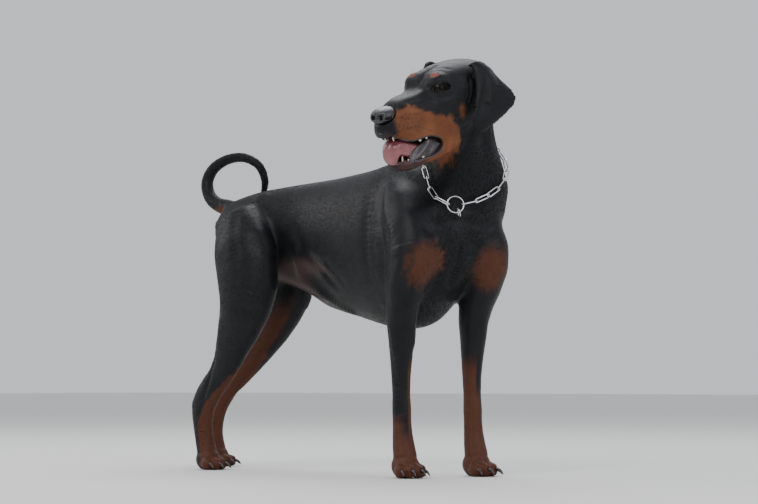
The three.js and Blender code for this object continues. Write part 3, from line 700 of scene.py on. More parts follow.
def faceTan(local, wobble):
    v = markValues
    x, y, z = local.T
    line = byStops(x, v["muzzleLine"])
    muzzle = fade(line - z + wobble * 5, -2.5, 3.5) * fade(np.abs(y) + wobble * 3, *v["muzzleSides"])
    muzzle *= fade(-x, *v["muzzleFront"])
    under = fade(-z, *v["jawUnder"]) * fade(-x, *v["jawFront"])
    face = np.maximum(muzzle, under * fade(line - z, -2, 4)) * fade(z + wobble * 8, *v["throat"])
    face *= fade(x - byStops(z, v["throatBack"]) + wobble * 4, -4, 4)
    half = np.column_stack([x, np.abs(y), z])
    cheek, brow = (
        within(half + wobble[:, None] * uneven, centre, radii, edge)
        for centre, radii, edge, uneven in (v["cheekSpot"], v["browSpot"])
    )
    dots = v["dots"]
    for row, level in enumerate(dots["z"]):
        for column in dots["x"]:
            away = np.hypot(x - column - (row % 2) * 4, z - level - math.sin(column * 1.7) * 1.5)
            face = face * (1 - dots["dark"] * np.exp(-(away / dots["size"]) ** 2))
    return np.maximum(face, np.maximum(cheek * v["cheekShare"], brow)), brow


def legTan(points, region, wobble):
    v = markValues
    tan = np.zeros(len(points))
    level = points[:, 2] + wobble * 0.008
    turn = math.radians(v["chestTurn"])
    for side, sign in sides.items():
        chosen = inRegion(region, f"foreleg_{side}", f"forepaw_{side}")
        if chosen.any():
            outward = (-math.sin(turn) * sign, math.cos(turn) * sign)
            ahead, outer = legFrame(points, chosen, (math.cos(turn), math.sin(turn)), outward).T
            middle, half, border, wedge = v["foreStripe"][side]
            front, deep = v["stripeAhead"]
            stripe = np.exp(-((ahead - front) / deep) ** 2 - ((outer - middle) / half) ** 2)
            front = below(level, *border) * (1 - stripe) + below(level, *wedge) * stripe
            inner = fade(-outer + wobble * 0.12, *v["foreInside"]) * below(level, *v["foreInner"])
            tan = np.where(chosen, np.clip(np.maximum(front, inner), 0, 1), tan)
        chosen = inRegion(region, f"hindleg_{side}", f"hindpaw_{side}")
        if chosen.any():
            ahead, outer = legFrame(points, chosen, (1, 0), (0, sign)).T
            border = byStops(points[:, 2], v["hindBorder"])
            reach = ahead - v["hindInner"] * np.minimum(outer, 0) + wobble * 0.1
            leg = fade(reach, border - 0.08, border + 0.12) * below(level, *v["hindTop"])
            thigh = fade(-outer + wobble * 0.06, *v["thighFrom"]) * below(level, *v["thighInner"])
            tan = np.where(chosen, np.maximum(leg, thigh), tan)
    return tan


def paintMarks(piece, region):
    v = markValues
    points, normals = coordsOf(piece.data), normalsOf(piece.data)
    local = toHead(points)
    slow, fine = v["wobble"]
    wobble = np.array([noise.noise(Vector(p) * slow) + 0.5 * noise.noise(Vector(p) * fine) for p in points])
    tan = legTan(points, region, wobble)
    onTrunk = inRegion(region, "torso", "neck", "foreleg_left", "foreleg_right")
    spotted = points + wobble[:, None] * v["chestRough"]
    for centre, radii in v["chestSpots"]:
        tan = np.maximum(tan, onTrunk * within(spotted, centre, radii, *v["chestEdge"]))
    centre, radius = v["underTail"]
    tan = np.maximum(tan, within(points + wobble[:, None] * v["tailRough"], centre, [radius] * 3, 0.5))
    onFace = inRegion(region, "head", "lower_jaw", "neck")
    face, brow = faceTan(local, wobble)
    tan = np.maximum(tan, face * onFace)
    centre, radii = v["belly"]
    onBelly = inRegion(region, "torso", "hindleg_left", "hindleg_right")
    bare = within(points, centre, radii, 0.6) * onBelly * fade(-normals[:, 2], *v["bellyFacing"])
    headSkin = inRegion(region, "head", "lower_jaw") & (local[:, 0] > skinValues["lipStart"])
    lining = insideMouth(local, normals @ np.array(headWay(0, 0, 1))) * headSkin
    band = v["lipBand"]
    opening = fade(along(local, "upper") - local[:, 2], -band, -band * 0.3)
    opening *= fade(local[:, 2] - along(local, "lower"), -band, -band * 0.3)
    inRange = (local[:, 0] > lipValues["range"][0] - 2) & (local[:, 0] < lipValues["range"][1] + 4)
    chin = fade(local[:, 0] + wobble * 3, *v["chin"]) * (local[:, 2] < along(local, "lower") + 4)
    lip = np.maximum(opening * inRange, chin * v["chinDark"]) * headSkin
    deep = np.where(inRegion(region, *legNames), *v["deepTan"]) * (1 - onFace)
    for name, values in zip(markNames, (tan, brow * onFace, deep, bare, lip, lining)):
        setAttribute(piece.data, name, np.clip(values, 0, 1))


# Shaders


def addNode(tree, kind, links=(), **values):
    node = tree.nodes.new(kind)
    for key, value in values.items():
        if key in node.inputs:
            node.inputs[key].default_value = value
        else:
            setattr(node, key, value)
    for socket, source in links:
        tree.links.new(source, node.inputs[socket])
    return node


def feed(tree, socket, value):
    if isinstance(value, bpy.types.NodeSocket):
        tree.links.new(value, socket)
    else:
        socket.default_value = value


def feedShader(tree, shader, sockets):
    for name, value in sockets.items():
        feed(tree, shader.inputs[name], value)


def mixColour(tree, share, first, second, blend="MIX"):
    node = tree.nodes.new("ShaderNodeMix")
    node.data_type = "RGBA"
    node.blend_type = blend
    # the colour sockets of a mix node stand at 6 and 7, its colour result at 2
    for index, value in ((0, share), (6, first), (7, second)):
        feed(tree, node.inputs[index], value)
    return node.outputs[2]


def calc(tree, operation, first, second):
    node = addNode(tree, "ShaderNodeMath", operation=operation)
    for index, value in enumerate((first, second)):
        feed(tree, node.inputs[index], value)
    return node.outputs[0]


def readAttribute(tree, name):
    return addNode(tree, "ShaderNodeAttribute", attribute_name=name).outputs["Fac"]


def objectPlace(tree):
    return addNode(tree, "ShaderNodeTexCoord").outputs["Object"]


def noiseOf(tree, place, scale, detail=4.0, roughness=0.5):
    node = addNode(tree, "ShaderNodeTexNoise", [("Vector", place)], Scale=scale, Detail=detail, Roughness=roughness)
    return node.outputs["Fac"]


def ranged(tree, value, low, high, start=0.0, end=1.0):
    node = addNode(tree, "ShaderNodeMapRange", [("Value", value)])
    for name, number in (("From Min", low), ("From Max", high), ("To Min", start), ("To Max", end)):
        node.inputs[name].default_value = number
    return node.outputs["Result"]


def makeMottleGroup():
    # slow and fine unevenness of a living surface: puts out a mask of each and a normal
    tree = bpy.data.node_groups.new("mottle", "ShaderNodeTree")
    for name in ("Patch Scale", "Grain Scale", "Depth"):
        tree.interface.new_socket(name, in_out="INPUT", socket_type="NodeSocketFloat")
    for name, kind in (("Patch", "Float"), ("Grain", "Float"), ("Normal", "Vector")):
        tree.interface.new_socket(name, in_out="OUTPUT", socket_type="NodeSocket" + kind)
    source, result = tree.nodes.new("NodeGroupInput"), tree.nodes.new("NodeGroupOutput")
    place = objectPlace(tree)
    patch = addNode(tree, "ShaderNodeTexNoise", [("Vector", place), ("Scale", source.outputs["Patch Scale"])], Detail=5)
    grain = addNode(tree, "ShaderNodeTexNoise", [("Vector", place), ("Scale", source.outputs["Grain Scale"])], Detail=3)
    links = [("Height", grain.outputs["Fac"]), ("Distance", source.outputs["Depth"])]
    bump = addNode(tree, "ShaderNodeBump", links, Strength=0.6)
    tree.links.new(patch.outputs["Fac"], result.inputs["Patch"])
    tree.links.new(grain.outputs["Fac"], result.inputs["Grain"])
    tree.links.new(bump.outputs["Normal"], result.inputs["Normal"])
    return tree


mottleGroup = makeMottleGroup()


def mottle(tree, patchScale, grainScale, depth):
    node = tree.nodes.new("ShaderNodeGroup")
    node.node_tree = mottleGroup
    for name, value in (("Patch Scale", patchScale), ("Grain Scale", grainScale), ("Depth", depth)):
        node.inputs[name].default_value = value
    return node


coatValues = {
    "black": (0.0042, 0.0046, 0.0058, 1),
    "blackAlt": (0.0085, 0.0092, 0.0116, 1),
    "tan": (0.120, 0.036, 0.013, 1),
    "tanAlt": (0.205, 0.074, 0.028, 1),
    "tanShadow": (0.060, 0.018, 0.009, 1),
    "tanDeep": (0.062, 0.020, 0.010, 1),
    "bright": (0.180, 0.033, 0.009, 1),
    "bare": (0.046, 0.027, 0.025, 1),
    "lip": (0.022, 0.015, 0.018, 1),
    "lining": (0.160, 0.045, 0.045, 1),
    "liningDark": (0.030, 0.016, 0.020, 1),
    "roughness": 0.40,
    "specular": 0.19,
    "sheen": 0.02,
    "sheenRoughness": 0.5,
    "grain": (24, 520, 0.0006),
    "wetGloss": 0.2,  # how much smoother the lips and the mouth are
    "tanRough": 0.1,  # how much rougher the tan is
}


def makeCoatMaterial():
    v = coatValues
    material, shader = newMaterial("coat", v["black"], v["roughness"])
    tree = material.node_tree
    skinGrain = mottle(tree, *v["grain"])
    patch = ranged(tree, skinGrain.outputs["Patch"], 0.3, 0.7)
    black = mixColour(tree, patch, v["black"], v["blackAlt"])
    tanTone = mixColour(tree, patch, v["tan"], v["tanAlt"])
    tanTone = mixColour(tree, ranged(tree, noiseOf(tree, objectPlace(tree), 9), 0.55, 0.8), tanTone, v["tanShadow"])
    tanTone = mixColour(tree, readAttribute(tree, "deep"), tanTone, v["tanDeep"])
    tanTone = mixColour(tree, readAttribute(tree, "bright"), tanTone, v["bright"])
    tan = readAttribute(tree, "tan")
    colour = mixColour(tree, tan, black, tanTone)
    colour = mixColour(tree, readAttribute(tree, "bare"), colour, v["bare"])
    lining = mixColour(tree, patch, v["lining"], v["liningDark"])
    colour = mixColour(tree, readAttribute(tree, "lip"), colour, v["lip"])
    colour = mixColour(tree, readAttribute(tree, "lining"), colour, lining)
    colour = mixColour(tree, 1.0, colour, tuftTone(tree), "MULTIPLY")
    wet = calc(tree, "MAXIMUM", readAttribute(tree, "lip"), readAttribute(tree, "lining"))
    rough = calc(tree, "SUBTRACT", v["roughness"], calc(tree, "MULTIPLY", wet, v["wetGloss"]))
    rough = calc(tree, "ADD", rough, calc(tree, "MULTIPLY", tan, v["tanRough"]))
    feedShader(tree, shader, {
        "Base Color": colour,
        "Roughness": rough,
        "Normal": skinGrain.outputs["Normal"],
        "Specular IOR Level": v["specular"],
        "Sheen Weight": v["sheen"],
        "Sheen Roughness": v["sheenRoughness"],
    })
    return material


def tuftTone(tree):
    # the tufts' own light and dark about 1; a piece without the mark reads 0 and keeps its colour
    bright = calc(tree, "ADD", readAttribute(tree, "shade"), 1.0)
    node = tree.nodes.new("ShaderNodeCombineColor")
    for name in ("Red", "Green", "Blue"):
        tree.links.new(bright, node.inputs[name])
    return node.outputs[0]


eyeLook = {
    "iris": ((0.012, 0.005, 0.002, 1), (0.005, 0.002, 0.001, 1)),
    "pupil": (0.001, 0.001, 0.001, 1),
    "rim": (0.004, 0.003, 0.003, 1),
    "white": ((0.20, 0.16, 0.14, 1), (0.14, 0.06, 0.05, 1)),
    # angles from the way the eye looks at which the iris, its rim and the white begin
    "irisFrom": (0.34, 0.39),
    "rimFrom": (0.90, 0.97),
    "whiteFrom": (1.02, 1.12),
    "streaks": 900,
    "veins": 600,
    "roughness": 0.04,
    "specular": 0.14,
}


def makeEyeMaterial():
    v = eyeLook
    material, shader = newMaterial("eye", v["pupil"], v["roughness"])
    tree = material.node_tree
    angle, place = readAttribute(tree, "angle"), objectPlace(tree)
    iris = mixColour(tree, noiseOf(tree, place, v["streaks"], 3), *v["iris"])
    colour = mixColour(tree, ranged(tree, angle, *v["irisFrom"]), v["pupil"], iris)
    colour = mixColour(tree, ranged(tree, angle, *v["rimFrom"]), colour, v["rim"])
    white = mixColour(tree, ranged(tree, noiseOf(tree, place, v["veins"], 5), 0.5, 0.65), *v["white"])
    colour = mixColour(tree, ranged(tree, angle, *v["whiteFrom"]), colour, white)
    feedShader(tree, shader, {"Base Color": colour, "Specular IOR Level": v["specular"]})
    return material


wetValues = {
    # base colour, colour of its patches, roughness, scales of patches and of grain, depth of the grain, clear coat
    "lipSkin": ((0.011, 0.008, 0.010, 1), (0.034, 0.021, 0.025, 1), 0.3, 90, 900, 0.0003, 0.4),
    "gum": ((0.32, 0.10, 0.10, 1), (0.10, 0.045, 0.05, 1), 0.22, 120, 1200, 0.0002, 0.7),
    "tooth": ((0.62, 0.55, 0.42, 1), (0.48, 0.38, 0.24, 1), 0.2, 140, 900, 0.00008, 0.6),
    "tongueSkin": ((0.195, 0.048, 0.058, 1), (0.265, 0.080, 0.092, 1), 0.28, 60, 1300, 0.0005, 0.6),
    "claw": ((0.012, 0.010, 0.009, 1), (0.035, 0.027, 0.022, 1), 0.32, 160, 700, 0.0002, 0.2),
    "whisker": ((0.008, 0.008, 0.009, 1), (0.02, 0.018, 0.017, 1), 0.4, 200, 900, 0.0001, 0),
}


def makeWetMaterial(name, base, alt, roughness, patchScale, grainScale, depth, coat):
    material, shader = newMaterial(name, base, roughness)
    tree = material.node_tree
    grain = mottle(tree, patchScale, grainScale, depth)
    colour = mixColour(tree, ranged(tree, grain.outputs["Patch"], 0.35, 0.65), base, alt)
    feedShader(tree, shader, {
        "Base Color": colour,
        "Roughness": ranged(tree, grain.outputs["Grain"], 0.3, 0.7, roughness * 0.75, roughness * 1.3),
        "Normal": grain.outputs["Normal"],
        "Coat Weight": coat,
        "Coat Roughness": roughness * 0.5,
    })
    return material


noseLook = {
    "cell": (0.014, 0.014, 0.016, 1),
    "furrowShade": (0.004, 0.004, 0.005, 1),
    # painted shade: the furrows between the leather's cells are coloured darker
    "worn": (0.024, 0.022, 0.024, 1),
    "cellScale": 560,
    "cellDepth": 0.0006,
    "grain": (60, 1500, 0.0002),
    "roughness": 0.34,
    "coat": 0.35,
    "coatRoughness": 0.2,
}


def makeNoseMaterial():
    v = noseLook
    material, shader = newMaterial("noseLeather", v["cell"], v["roughness"])
    tree = material.node_tree
    cells = addNode(tree, "ShaderNodeTexVoronoi", [("Vector", objectPlace(tree))], Scale=v["cellScale"])
    grain = mottle(tree, *v["grain"])
    # painted shade darkens the leather from the middle of each cell towards the furrows between cells
    colour = mixColour(tree, ranged(tree, cells.outputs["Distance"], 0.1, 0.6), v["cell"], v["furrowShade"])
    colour = mixColour(tree, ranged(tree, grain.outputs["Patch"], 0.4, 0.7, 0, 0.5), colour, v["worn"])
    links = [("Height", cells.outputs["Distance"]), ("Normal", grain.outputs["Normal"])]
    bump = addNode(tree, "ShaderNodeBump", links, Strength=0.5, Distance=v["cellDepth"], invert=True)
    feedShader(tree, shader, {
        "Base Color": colour,
        "Normal": bump.outputs["Normal"],
        "Coat Weight": v["coat"],
        "Coat Roughness": v["coatRoughness"],
    })
    return material


steelLook = {
    "clean": (0.78, 0.79, 0.81, 1),
    "dull": (0.50, 0.50, 0.51, 1),
    "roughness": (0.1, 0.3),
    "grain": (90, 1800, 0.00005),
}


def makeSteelMaterial():
    v = steelLook
    material, shader = newMaterial("chainSteel", v["clean"], v["roughness"][0], 1.0)
    tree = material.node_tree
    grain = mottle(tree, *v["grain"])
    colour = mixColour(tree, ranged(tree, grain.outputs["Patch"], 0.4, 0.75), v["clean"], v["dull"])
    feedShader(tree, shader, {
        "Base Color": colour,
        "Roughness": ranged(tree, grain.outputs["Grain"], 0.3, 0.75, *v["roughness"]),
        "Normal": grain.outputs["Normal"],
    })
    return material


# Small pieces


def joinRings(bm, rings):
    # faces from each closed ring of points to the next
    for first, second in zip(rings, rings[1:]):
        for k in range(len(first)):
            after = (k + 1) % len(first)
            bm.faces.new((first[k], first[after], second[after], second[k]))


def sweep(bm, line, radii, corners):
    # a closed tube along a line of places, with a radius at each
    count = len(line)
    tangents = [(line[min(k + 1, count - 1)] - line[max(k - 1, 0)]).normalized() for k in range(count)]
    side = tangents[0].orthogonal().normalized()
    rings = []
    for spot, tangent, radius in zip(line, tangents, radii):
        side = (side - tangent * side.dot(tangent)).normalized()
        other = tangent.cross(side)
        ring = []
        for i in range(corners):
            turn = 2 * math.pi * i / corners
            ring.append(bm.verts.new(spot + (side * math.cos(turn) + other * math.sin(turn)) * radius))
        rings.append(ring)
    joinRings(bm, rings)
    bm.faces.new(list(reversed(rings[0])))
    bm.faces.new(rings[-1])


def finishPiece(name, bm, material, replaced=(), levels=0):
    bmesh.ops.recalc_face_normals(bm, faces=bm.faces)
    piece = pieceFrom(name, bm)
    if levels:
        smooth = piece.modifiers.new("smooth", "SUBSURF")
        smooth.levels = smooth.render_levels = levels
        applyModifiers(piece)
    return dress(piece, material, replaced)


def bulgeAt(angle, radius):
    return radius * eyeValues["bulge"] * max(0, math.cos(min(angle / eyeValues["bulgeAngle"], 1) * math.pi / 2))


def ballFront(off, radius):
    # how far ahead of its middle the ball's surface lies, with the clear front bulging out
    return math.sqrt(radius ** 2 - off ** 2) + bulgeAt(math.asin(min(off / radius, 1)), radius)


def makeEye(side, material):
    ball, radius, look = eyeFrame(side)[:3]
    bm = bmesh.new()
    turn = look.to_track_quat("Z", "Y").to_matrix().to_4x4()
    bmesh.ops.create_uvsphere(bm, u_segments=56, v_segments=40, radius=radius, matrix=Matrix.Translation(ball) @ turn)
    angles = []
    for vert in bm.verts:
        out = (vert.co - ball).normalized()
        angle = math.acos(max(-1, min(1, out.dot(look))))
        angles.append(angle)
        vert.co += look * bulgeAt(angle, radius)
    piece = finishPiece(f"eyeball_{side}", bm, material, [f"eye_{side}"])
    setAttribute(piece.data, "angle", np.array(angles))
    return piece


# how far from the middle of the opening, as a share of it, and how far out from the ball or the skin, in mm
lidRings = [
    (0.94, -2.0), (0.965, -0.4), (1.0, 0.7), (1.05, 1.25), (1.12, 1.3),
    (1.24, 1.15), (1.42, 0.9), (1.68, 0.5), (2.0, 0.0), (2.35, -1.2),
]
lidColumns = 64
# shares at which the lids leave the ball for the skin, stop covering it and end their bare rim; the same for the
# corners, round the opening, and how deep these lie as a share of the ball's radius
lidTurns = {"skin": (1.04, 1.4), "cover": (1.7, 2.2), "rim": (1.03, 1.13), "corner": (0.72, 1.0), "cornerDepth": 0.62}


def makeLids(side, tree, material):
    ball, radius, look, across, rise, middle, half = eyeFrame(side)
    scale = headValues["scale"]
    bm = bmesh.new()
    rings, rim = [], []
    for share, lift in lidRings:
        ring = []
        for k in range(lidColumns):
            t = 2 * math.pi * k / lidColumns
            tall = (eyeValues["upperLid"] if math.sin(t) > 0 else eyeValues["lowerLid"]) * scale
            width = 1 + (share - 1) * 0.5
            out = across * half * math.cos(t) * width
            out += rise * math.copysign(math.sin(t) ** 2, math.sin(t)) * tall * share
            out += rise * math.sin(t) * (share - 1) * tall * 0.5
            spot = middle + out
            flat = (spot - ball) - look * (spot - ball).dot(look)
            onBall = ballFront(flat.length, radius) if flat.length < radius else 0
            hit = tree.ray_cast(ball + flat + look * 0.06, -look)
            onSkin = (hit[0] - ball).dot(look) if hit[0] else onBall
            near = fade(share, *lidTurns["skin"])
            corner = fade(abs(math.cos(t)), *lidTurns["corner"])
            rimDepth = onBall * (1 - corner) + min(onSkin, radius * lidTurns["cornerDepth"]) * corner
            depth = rimDepth * (1 - near) + onSkin * near
            cover = onBall * (1 - fade(share, *lidTurns["cover"])) * (1 - corner)
            depth = max(depth, cover) if share >= 1 else depth
            ring.append(bm.verts.new(ball + flat + look * (depth + lift * mm)))
        rings.append(ring)
        rim += [1 - fade(share, *lidTurns["rim"])] * lidColumns
    joinRings(bm, rings)
    bmesh.ops.recalc_face_normals(bm, faces=bm.faces)
    if sum((face.normal.dot(look) for face in bm.faces)) < 0:
        bmesh.ops.reverse_faces(bm, faces=bm.faces)
    piece = pieceFrom(f"lids_{side}", bm)
    dress(piece, material)
    paintMarks(piece, np.full(len(piece.data.vertices), fleshNames.index("head")))
    setAttribute(piece.data, "lip", np.array(rim))
    return piece


def smoothCopy(name, node, voxel, rounds, material):
    piece = remeshed(name, [node], voxel)
    coords = relax(coordsOf(piece.data), edgesOf(piece.data), np.ones(len(piece.data.vertices)), rounds)
    setCoords(piece.data, coords)
    return dress(piece, material, [node])


# line on the nose in the head's frame, half its width, how far it stands out, and the sides it is on
noseMarks = {
    "middle": ([(139, 0, -8), (138, 0, -16), (134, 0, -24)], 1.3, -1.6, (1,)),
    "nostril": ([(128, 17, -10), (132, 12, -15), (134, 8, -18)], 2.6, -4.2, (1, -1)),
}


def makeNose(material):
    piece = smoothCopy("nose_leather", "nose", 0.9 * mm, 14, material)
    coords, normals = coordsOf(piece.data), normalsOf(piece.data)
    tree = surfaceTree(piece.data)
    for stops, wide, deep, ways in noseMarks.values():
        for sign in ways:
            hits = headHits(tree, stops, sign)
            press(coords, normals, hits, wide * headValues["scale"], deep * headValues["scale"], 0.15)
    setCoords(piece.data, coords)
    return piece


# how much the tongue's top rises along it, half its width, and how deep its middle line is, in the head's mm
tongueValues = {
    "rise": [(20, 0), (50, 4), (68, 7), (88, 11), (108, 8), (122, 1)],
    "sink": [(20, 4), (60, 9), (90, 8), (108, 2)],
    "wide": 34,
    "groove": 2,
    "grooveWide": 3.5,
}


def makeTongue(material):
    piece = smoothCopy("tongue_flesh", "tongue", 1.2 * mm, 26, material)
    coords, normals = coordsOf(piece.data), normalsOf(piece.data)
    local = toHead(coords)
    top = np.array(headWay(0, 0, 1))
    v = tongueValues
    upward = fade(normals @ top, -0.2, 0.5)
    sink = (1 - upward) * byStops(local[:, 0], v["sink"])
    full = upward * byStops(local[:, 0], v["rise"]) * (1 - (local[:, 1] / v["wide"]) ** 2)
    groove = np.exp(-(local[:, 1] / v["grooveWide"]) ** 2) * fade(normals @ top, 0.1, 0.6) * v["groove"]
    setCoords(piece.data, coords + top * ((full - groove - sink) * headValues["scale"])[:, None])
    return piece


def lipLine(tree, name):
    # along one side, round the front and back, as places on the skin
    half = [(x, lipAt("outer", x), z) for x, z in lipValues[name]]
    line = [Vector(p) for p in half] + [Vector((p[0], -p[1], p[2])) for p in reversed(half) if p[1] > 1]
    return [tree.find_nearest(onHead(*p))[0] for p in rounded(line, 6)]


def makeLips(tree, material):
    bm = bmesh.new()
    scale = headValues["scale"]
    for name, wide in (("upper", 1.5), ("lower", 1.9)):
        line = lipLine(tree, name)
        line = [(a + b * 2 + c) / 4 for a, b, c in zip([line[0]] + line[:-1], line, line[1:] + [line[-1]])]
        ends = len(line) - 1
        radii = [wide * scale * (0.5 + 0.5 * math.sin(math.pi * k / ends) ** 0.5) for k in range(len(line))]
        sweep(bm, line, radii, 10)
    return finishPiece("lips", bm, material, levels=1)


# Cheek folds between the lips: how much of the gap they fill, along the head, and how far in they lie, in its mm
foldValues = {
    "height": [(12, 1.0), (30, 0.96), (44, 0.78), (62, 0.62), (76, 0.4), (84, 0.1)],
    "start": 10,
    "length": 76,
    "inward": 7,
    "thick": 2.2,
    "rows": 14,
    "columns": 36,
}


def makeCheekFolds(material):
    bm = bmesh.new()
    v = foldValues
    for sign in sides.values():
        sheets = []
        for thick in (0, v["thick"]):
            grid = []
            for i in range(v["columns"] + 1):
                x = v["start"] + v["length"] * i / v["columns"]
                low, high, out = (lipAt(k, x) for k in ("lower", "upper", "outer"))
                low, top = low - 5, low + (high + 3 - low) * float(byStops(x, v["height"]))
                column = []
                for j in range(v["rows"] + 1):
                    t = j / v["rows"]
                    bulge = 2.6 * math.sin(t * math.pi) + 0.8 * math.sin(t * 9 + x * 0.16)
                    y = out - v["inward"] - thick + bulge - 5 * t * t
                    column.append(bm.verts.new(onHead(x, y * sign, low + (top - low) * t)))
                grid.append(column)
            sheets.append(grid)
        front, back = sheets
        joinRings(bm, [outer + inner[::-1] for outer, inner in zip(front, back)])
        for j in range(v["rows"]):
            for i in (0, v["columns"]):
                bm.faces.new((front[i][j], front[i][j + 1], back[i][j + 1], back[i][j]))
    return finishPiece("cheek_folds", bm, material, levels=1)


# Teeth: place along the jaw, half the length along it, thickness and height, in the head's mm, from the front
teethValues = {
    "upper": [
        (109, 2, 2, 4), (108, 2, 2, 4), (104, 2.8, 2.6, 10), (93, 2.6, 2, 3.5),
        (84, 3.2, 2, 4), (73, 4.2, 2.4, 5), (59, 7, 3.2, 9), (45, 5.5, 4, 9),
    ],
    "lower": [
        (104, 1.7, 1.7, 4), (102, 1.7, 1.7, 4), (97, 2.6, 2.4, 11), (87, 2.4, 1.8, 4),
        (79, 3.2, 2, 5), (70, 4, 2.4, 6), (57, 6, 3, 8), (43, 4.6, 3.2, 6),
    ],
    "upperRoot": 6,
    "lowerRoot": 2,
    "inward": 7.5,
    "gumInward": 9,
    "gumThick": 3.6,
    "gumStops": (30, 44, 58, 72, 86, 98, 107),
    "gumRise": {"upper": (0, 8.5), "lower": (-6, -4)},  # how far ahead and up of the lips' line each gum lies
}


def makeTeeth(material):
    bm = bmesh.new()
    v = teethValues
    scale = headValues["scale"]
    for name, way in (("upper", -1), ("lower", 1)):
        for sign in sides.values():
            for k, (x, half, thick, tall) in enumerate(v[name]):
                edge = lipAt(name, x)
                root = edge + v["upperRoot"] if way < 0 else edge - v["lowerRoot"]
                y = (2.5 + 4 * k) if k < 2 else max(lipAt("outer", x) - v["inward"], 9)
                place = Matrix.Translation(onHead(x, y * sign, root)) @ headPlace.to_quaternion().to_matrix().to_4x4()
                if way < 0:
                    place = place @ Matrix.Rotation(math.pi, 4, "X")
                shape = Matrix.Diagonal((half * scale, thick * scale, tall * scale, 1))
                lift = Matrix.Translation((0, 0, 0.5))
                made = bmesh.ops.create_cone(
                    bm, cap_ends=True, segments=12, radius1=1, radius2=0.24, depth=1, matrix=place @ shape @ lift
                )
                bend = headWay(-1, 0, 0) * scale * tall * 0.12
                tip = onHead(x, y * sign, root + way * tall)
                for vert in made["verts"]:
                    if (vert.co - tip).length < tall * scale * 0.45:
                        vert.co += bend
    return finishPiece("teeth", bm, material, levels=2)


def makeGums(material):
    bm = bmesh.new()
    v = teethValues
    scale = headValues["scale"]
    for name, (ahead, rise) in v["gumRise"].items():
        half = []
        for x in [stop + ahead for stop in v["gumStops"]]:
            half.append(Vector((x, max(lipAt("outer", x) - v["gumInward"], 4), lipAt(name, x) + rise)))
        line = half + [Vector((p.x, -p.y, p.z)) for p in reversed(half)]
        line = [onHead(*p) for p in rounded(line, 5)]
        radii = [scale * v["gumThick"] * (0.8 + 0.12 * math.sin(k * 1.3)) for k in range(len(line))]
        sweep(bm, line, radii, 10)
    return finishPiece("gums", bm, material, levels=1)


def clawNames():
    return [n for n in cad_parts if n.startswith("claw_")]


def makeClaws(material):
    piece = pieceFrom("claws", joinCopies(clawNames()))
    smooth = piece.modifiers.new("smooth", "SUBSURF")
    smooth.levels = smooth.render_levels = 2
    applyModifiers(piece)
    return dress(piece, material, clawNames())


def ringInto(bm, place, radius, wire, straight, corners=14, steps=48):
    # a ring of wire, drawn apart along x into a long link where there is a straight part
    made = bmesh.new()
    section = Matrix.Translation((radius, 0, 0)) @ Matrix.Rotation(math.pi / 2, 4, "X")
    bmesh.ops.create_circle(made, segments=corners, radius=wire, matrix=section)
    geometry = made.verts[:] + made.edges[:]
    bmesh.ops.spin(made, geom=geometry, cent=(0, 0, 0), axis=(0, 0, 1), angle=2 * math.pi, steps=steps, use_merge=True)
    bmesh.ops.remove_doubles(made, verts=made.verts, dist=wire * 0.02)
    for vert in made.verts:
        vert.co.x += math.copysign(straight, vert.co.x) if abs(vert.co.x) > 1e-7 else 0
        vert.co = place @ vert.co
    bmesh.ops.recalc_face_normals(made, faces=made.faces)
    mergeInto(bm, made)


def makeChain(material):
    names = [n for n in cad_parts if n.startswith("chain_")]
    bm = bmesh.new()
    for name in names:
        # the link's own directions, from its longest to its thinnest
        coords = coordsOf(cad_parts[name].data)
        ways = np.linalg.eigh(np.cov((coords - coords.mean(0)).T))[1][:, ::-1]
        reach = (coords - coords.mean(0)) @ ways
        middle = coords.mean(0) + ways @ ((reach.min(0) + reach.max(0)) / 2)
        length, width, wire = (reach.max(0) - reach.min(0)) / 2
        first, second = Vector(ways[:, 0]), Vector(ways[:, 1])
        turn = Matrix((first, second, first.cross(second))).transposed().to_4x4()
        ringInto(bm, Matrix.Translation(Vector(middle)) @ turn, width - wire, wire, max(length - width, 0))
    piece = pieceFrom("chain", bm)
    print("chain laid", len(piece.data.polygons))
    return dress(piece, material, names)


# Whiskers: root on the head, the way it grows and its length, in the head's mm, on both sides
whiskerValues = {
    "rows": [
        (-24, [(104, 30), (94, 40), (84, 46)]),
        (-33, [(101, 36), (91, 48), (80, 55), (70, 50)]),
        (-42, [(96, 34), (86, 46), (76, 52), (66, 44)]),
    ],
    "single": [((-4, 29, 34), 28), ((2, 27, 33), 24), ((-32, 50, -42), 26), ((88, 12, -114), 20), ((98, 6, -110), 16)],
    "thick": 0.22,
    "steps": 7,
    "way": (-0.7, 0.2, -0.15),
    "droop": (-0.25, 0, -0.5),
    "sway": 0.2,
}


def makeWhiskers(tree, material):
    v = whiskerValues
    bm = bmesh.new()
    scale = headValues["scale"]
    roots = []
    for z, spots in v["rows"]:
        roots += [((x, lipAt("outer", x), z), size) for x, size in spots]
    for spot, size in roots + v["single"]:
        for sign in sides.values():
            root, normal = tree.find_nearest(onHead(spot[0], spot[1] * sign, spot[2]))[:2]
            sway = Vector([random.uniform(-v["sway"], v["sway"]) for _ in range(3)])
            back, out, rise = v["way"]
            way = (normal * 0.75 + headWay(back, out * sign, rise) + sway).normalized()
            droop = headWay(*v["droop"])
            reach = size * scale
            stages = [i / v["steps"] for i in range(v["steps"] + 1)]
            line = [root + way * reach * t + droop * reach * t * t * 0.5 for t in stages]
            radii = [v["thick"] * mm * (1.0 - 0.85 * t) for t in stages]
            sweep(bm, line, radii, 5)
    return finishPiece("whiskers", bm, material)


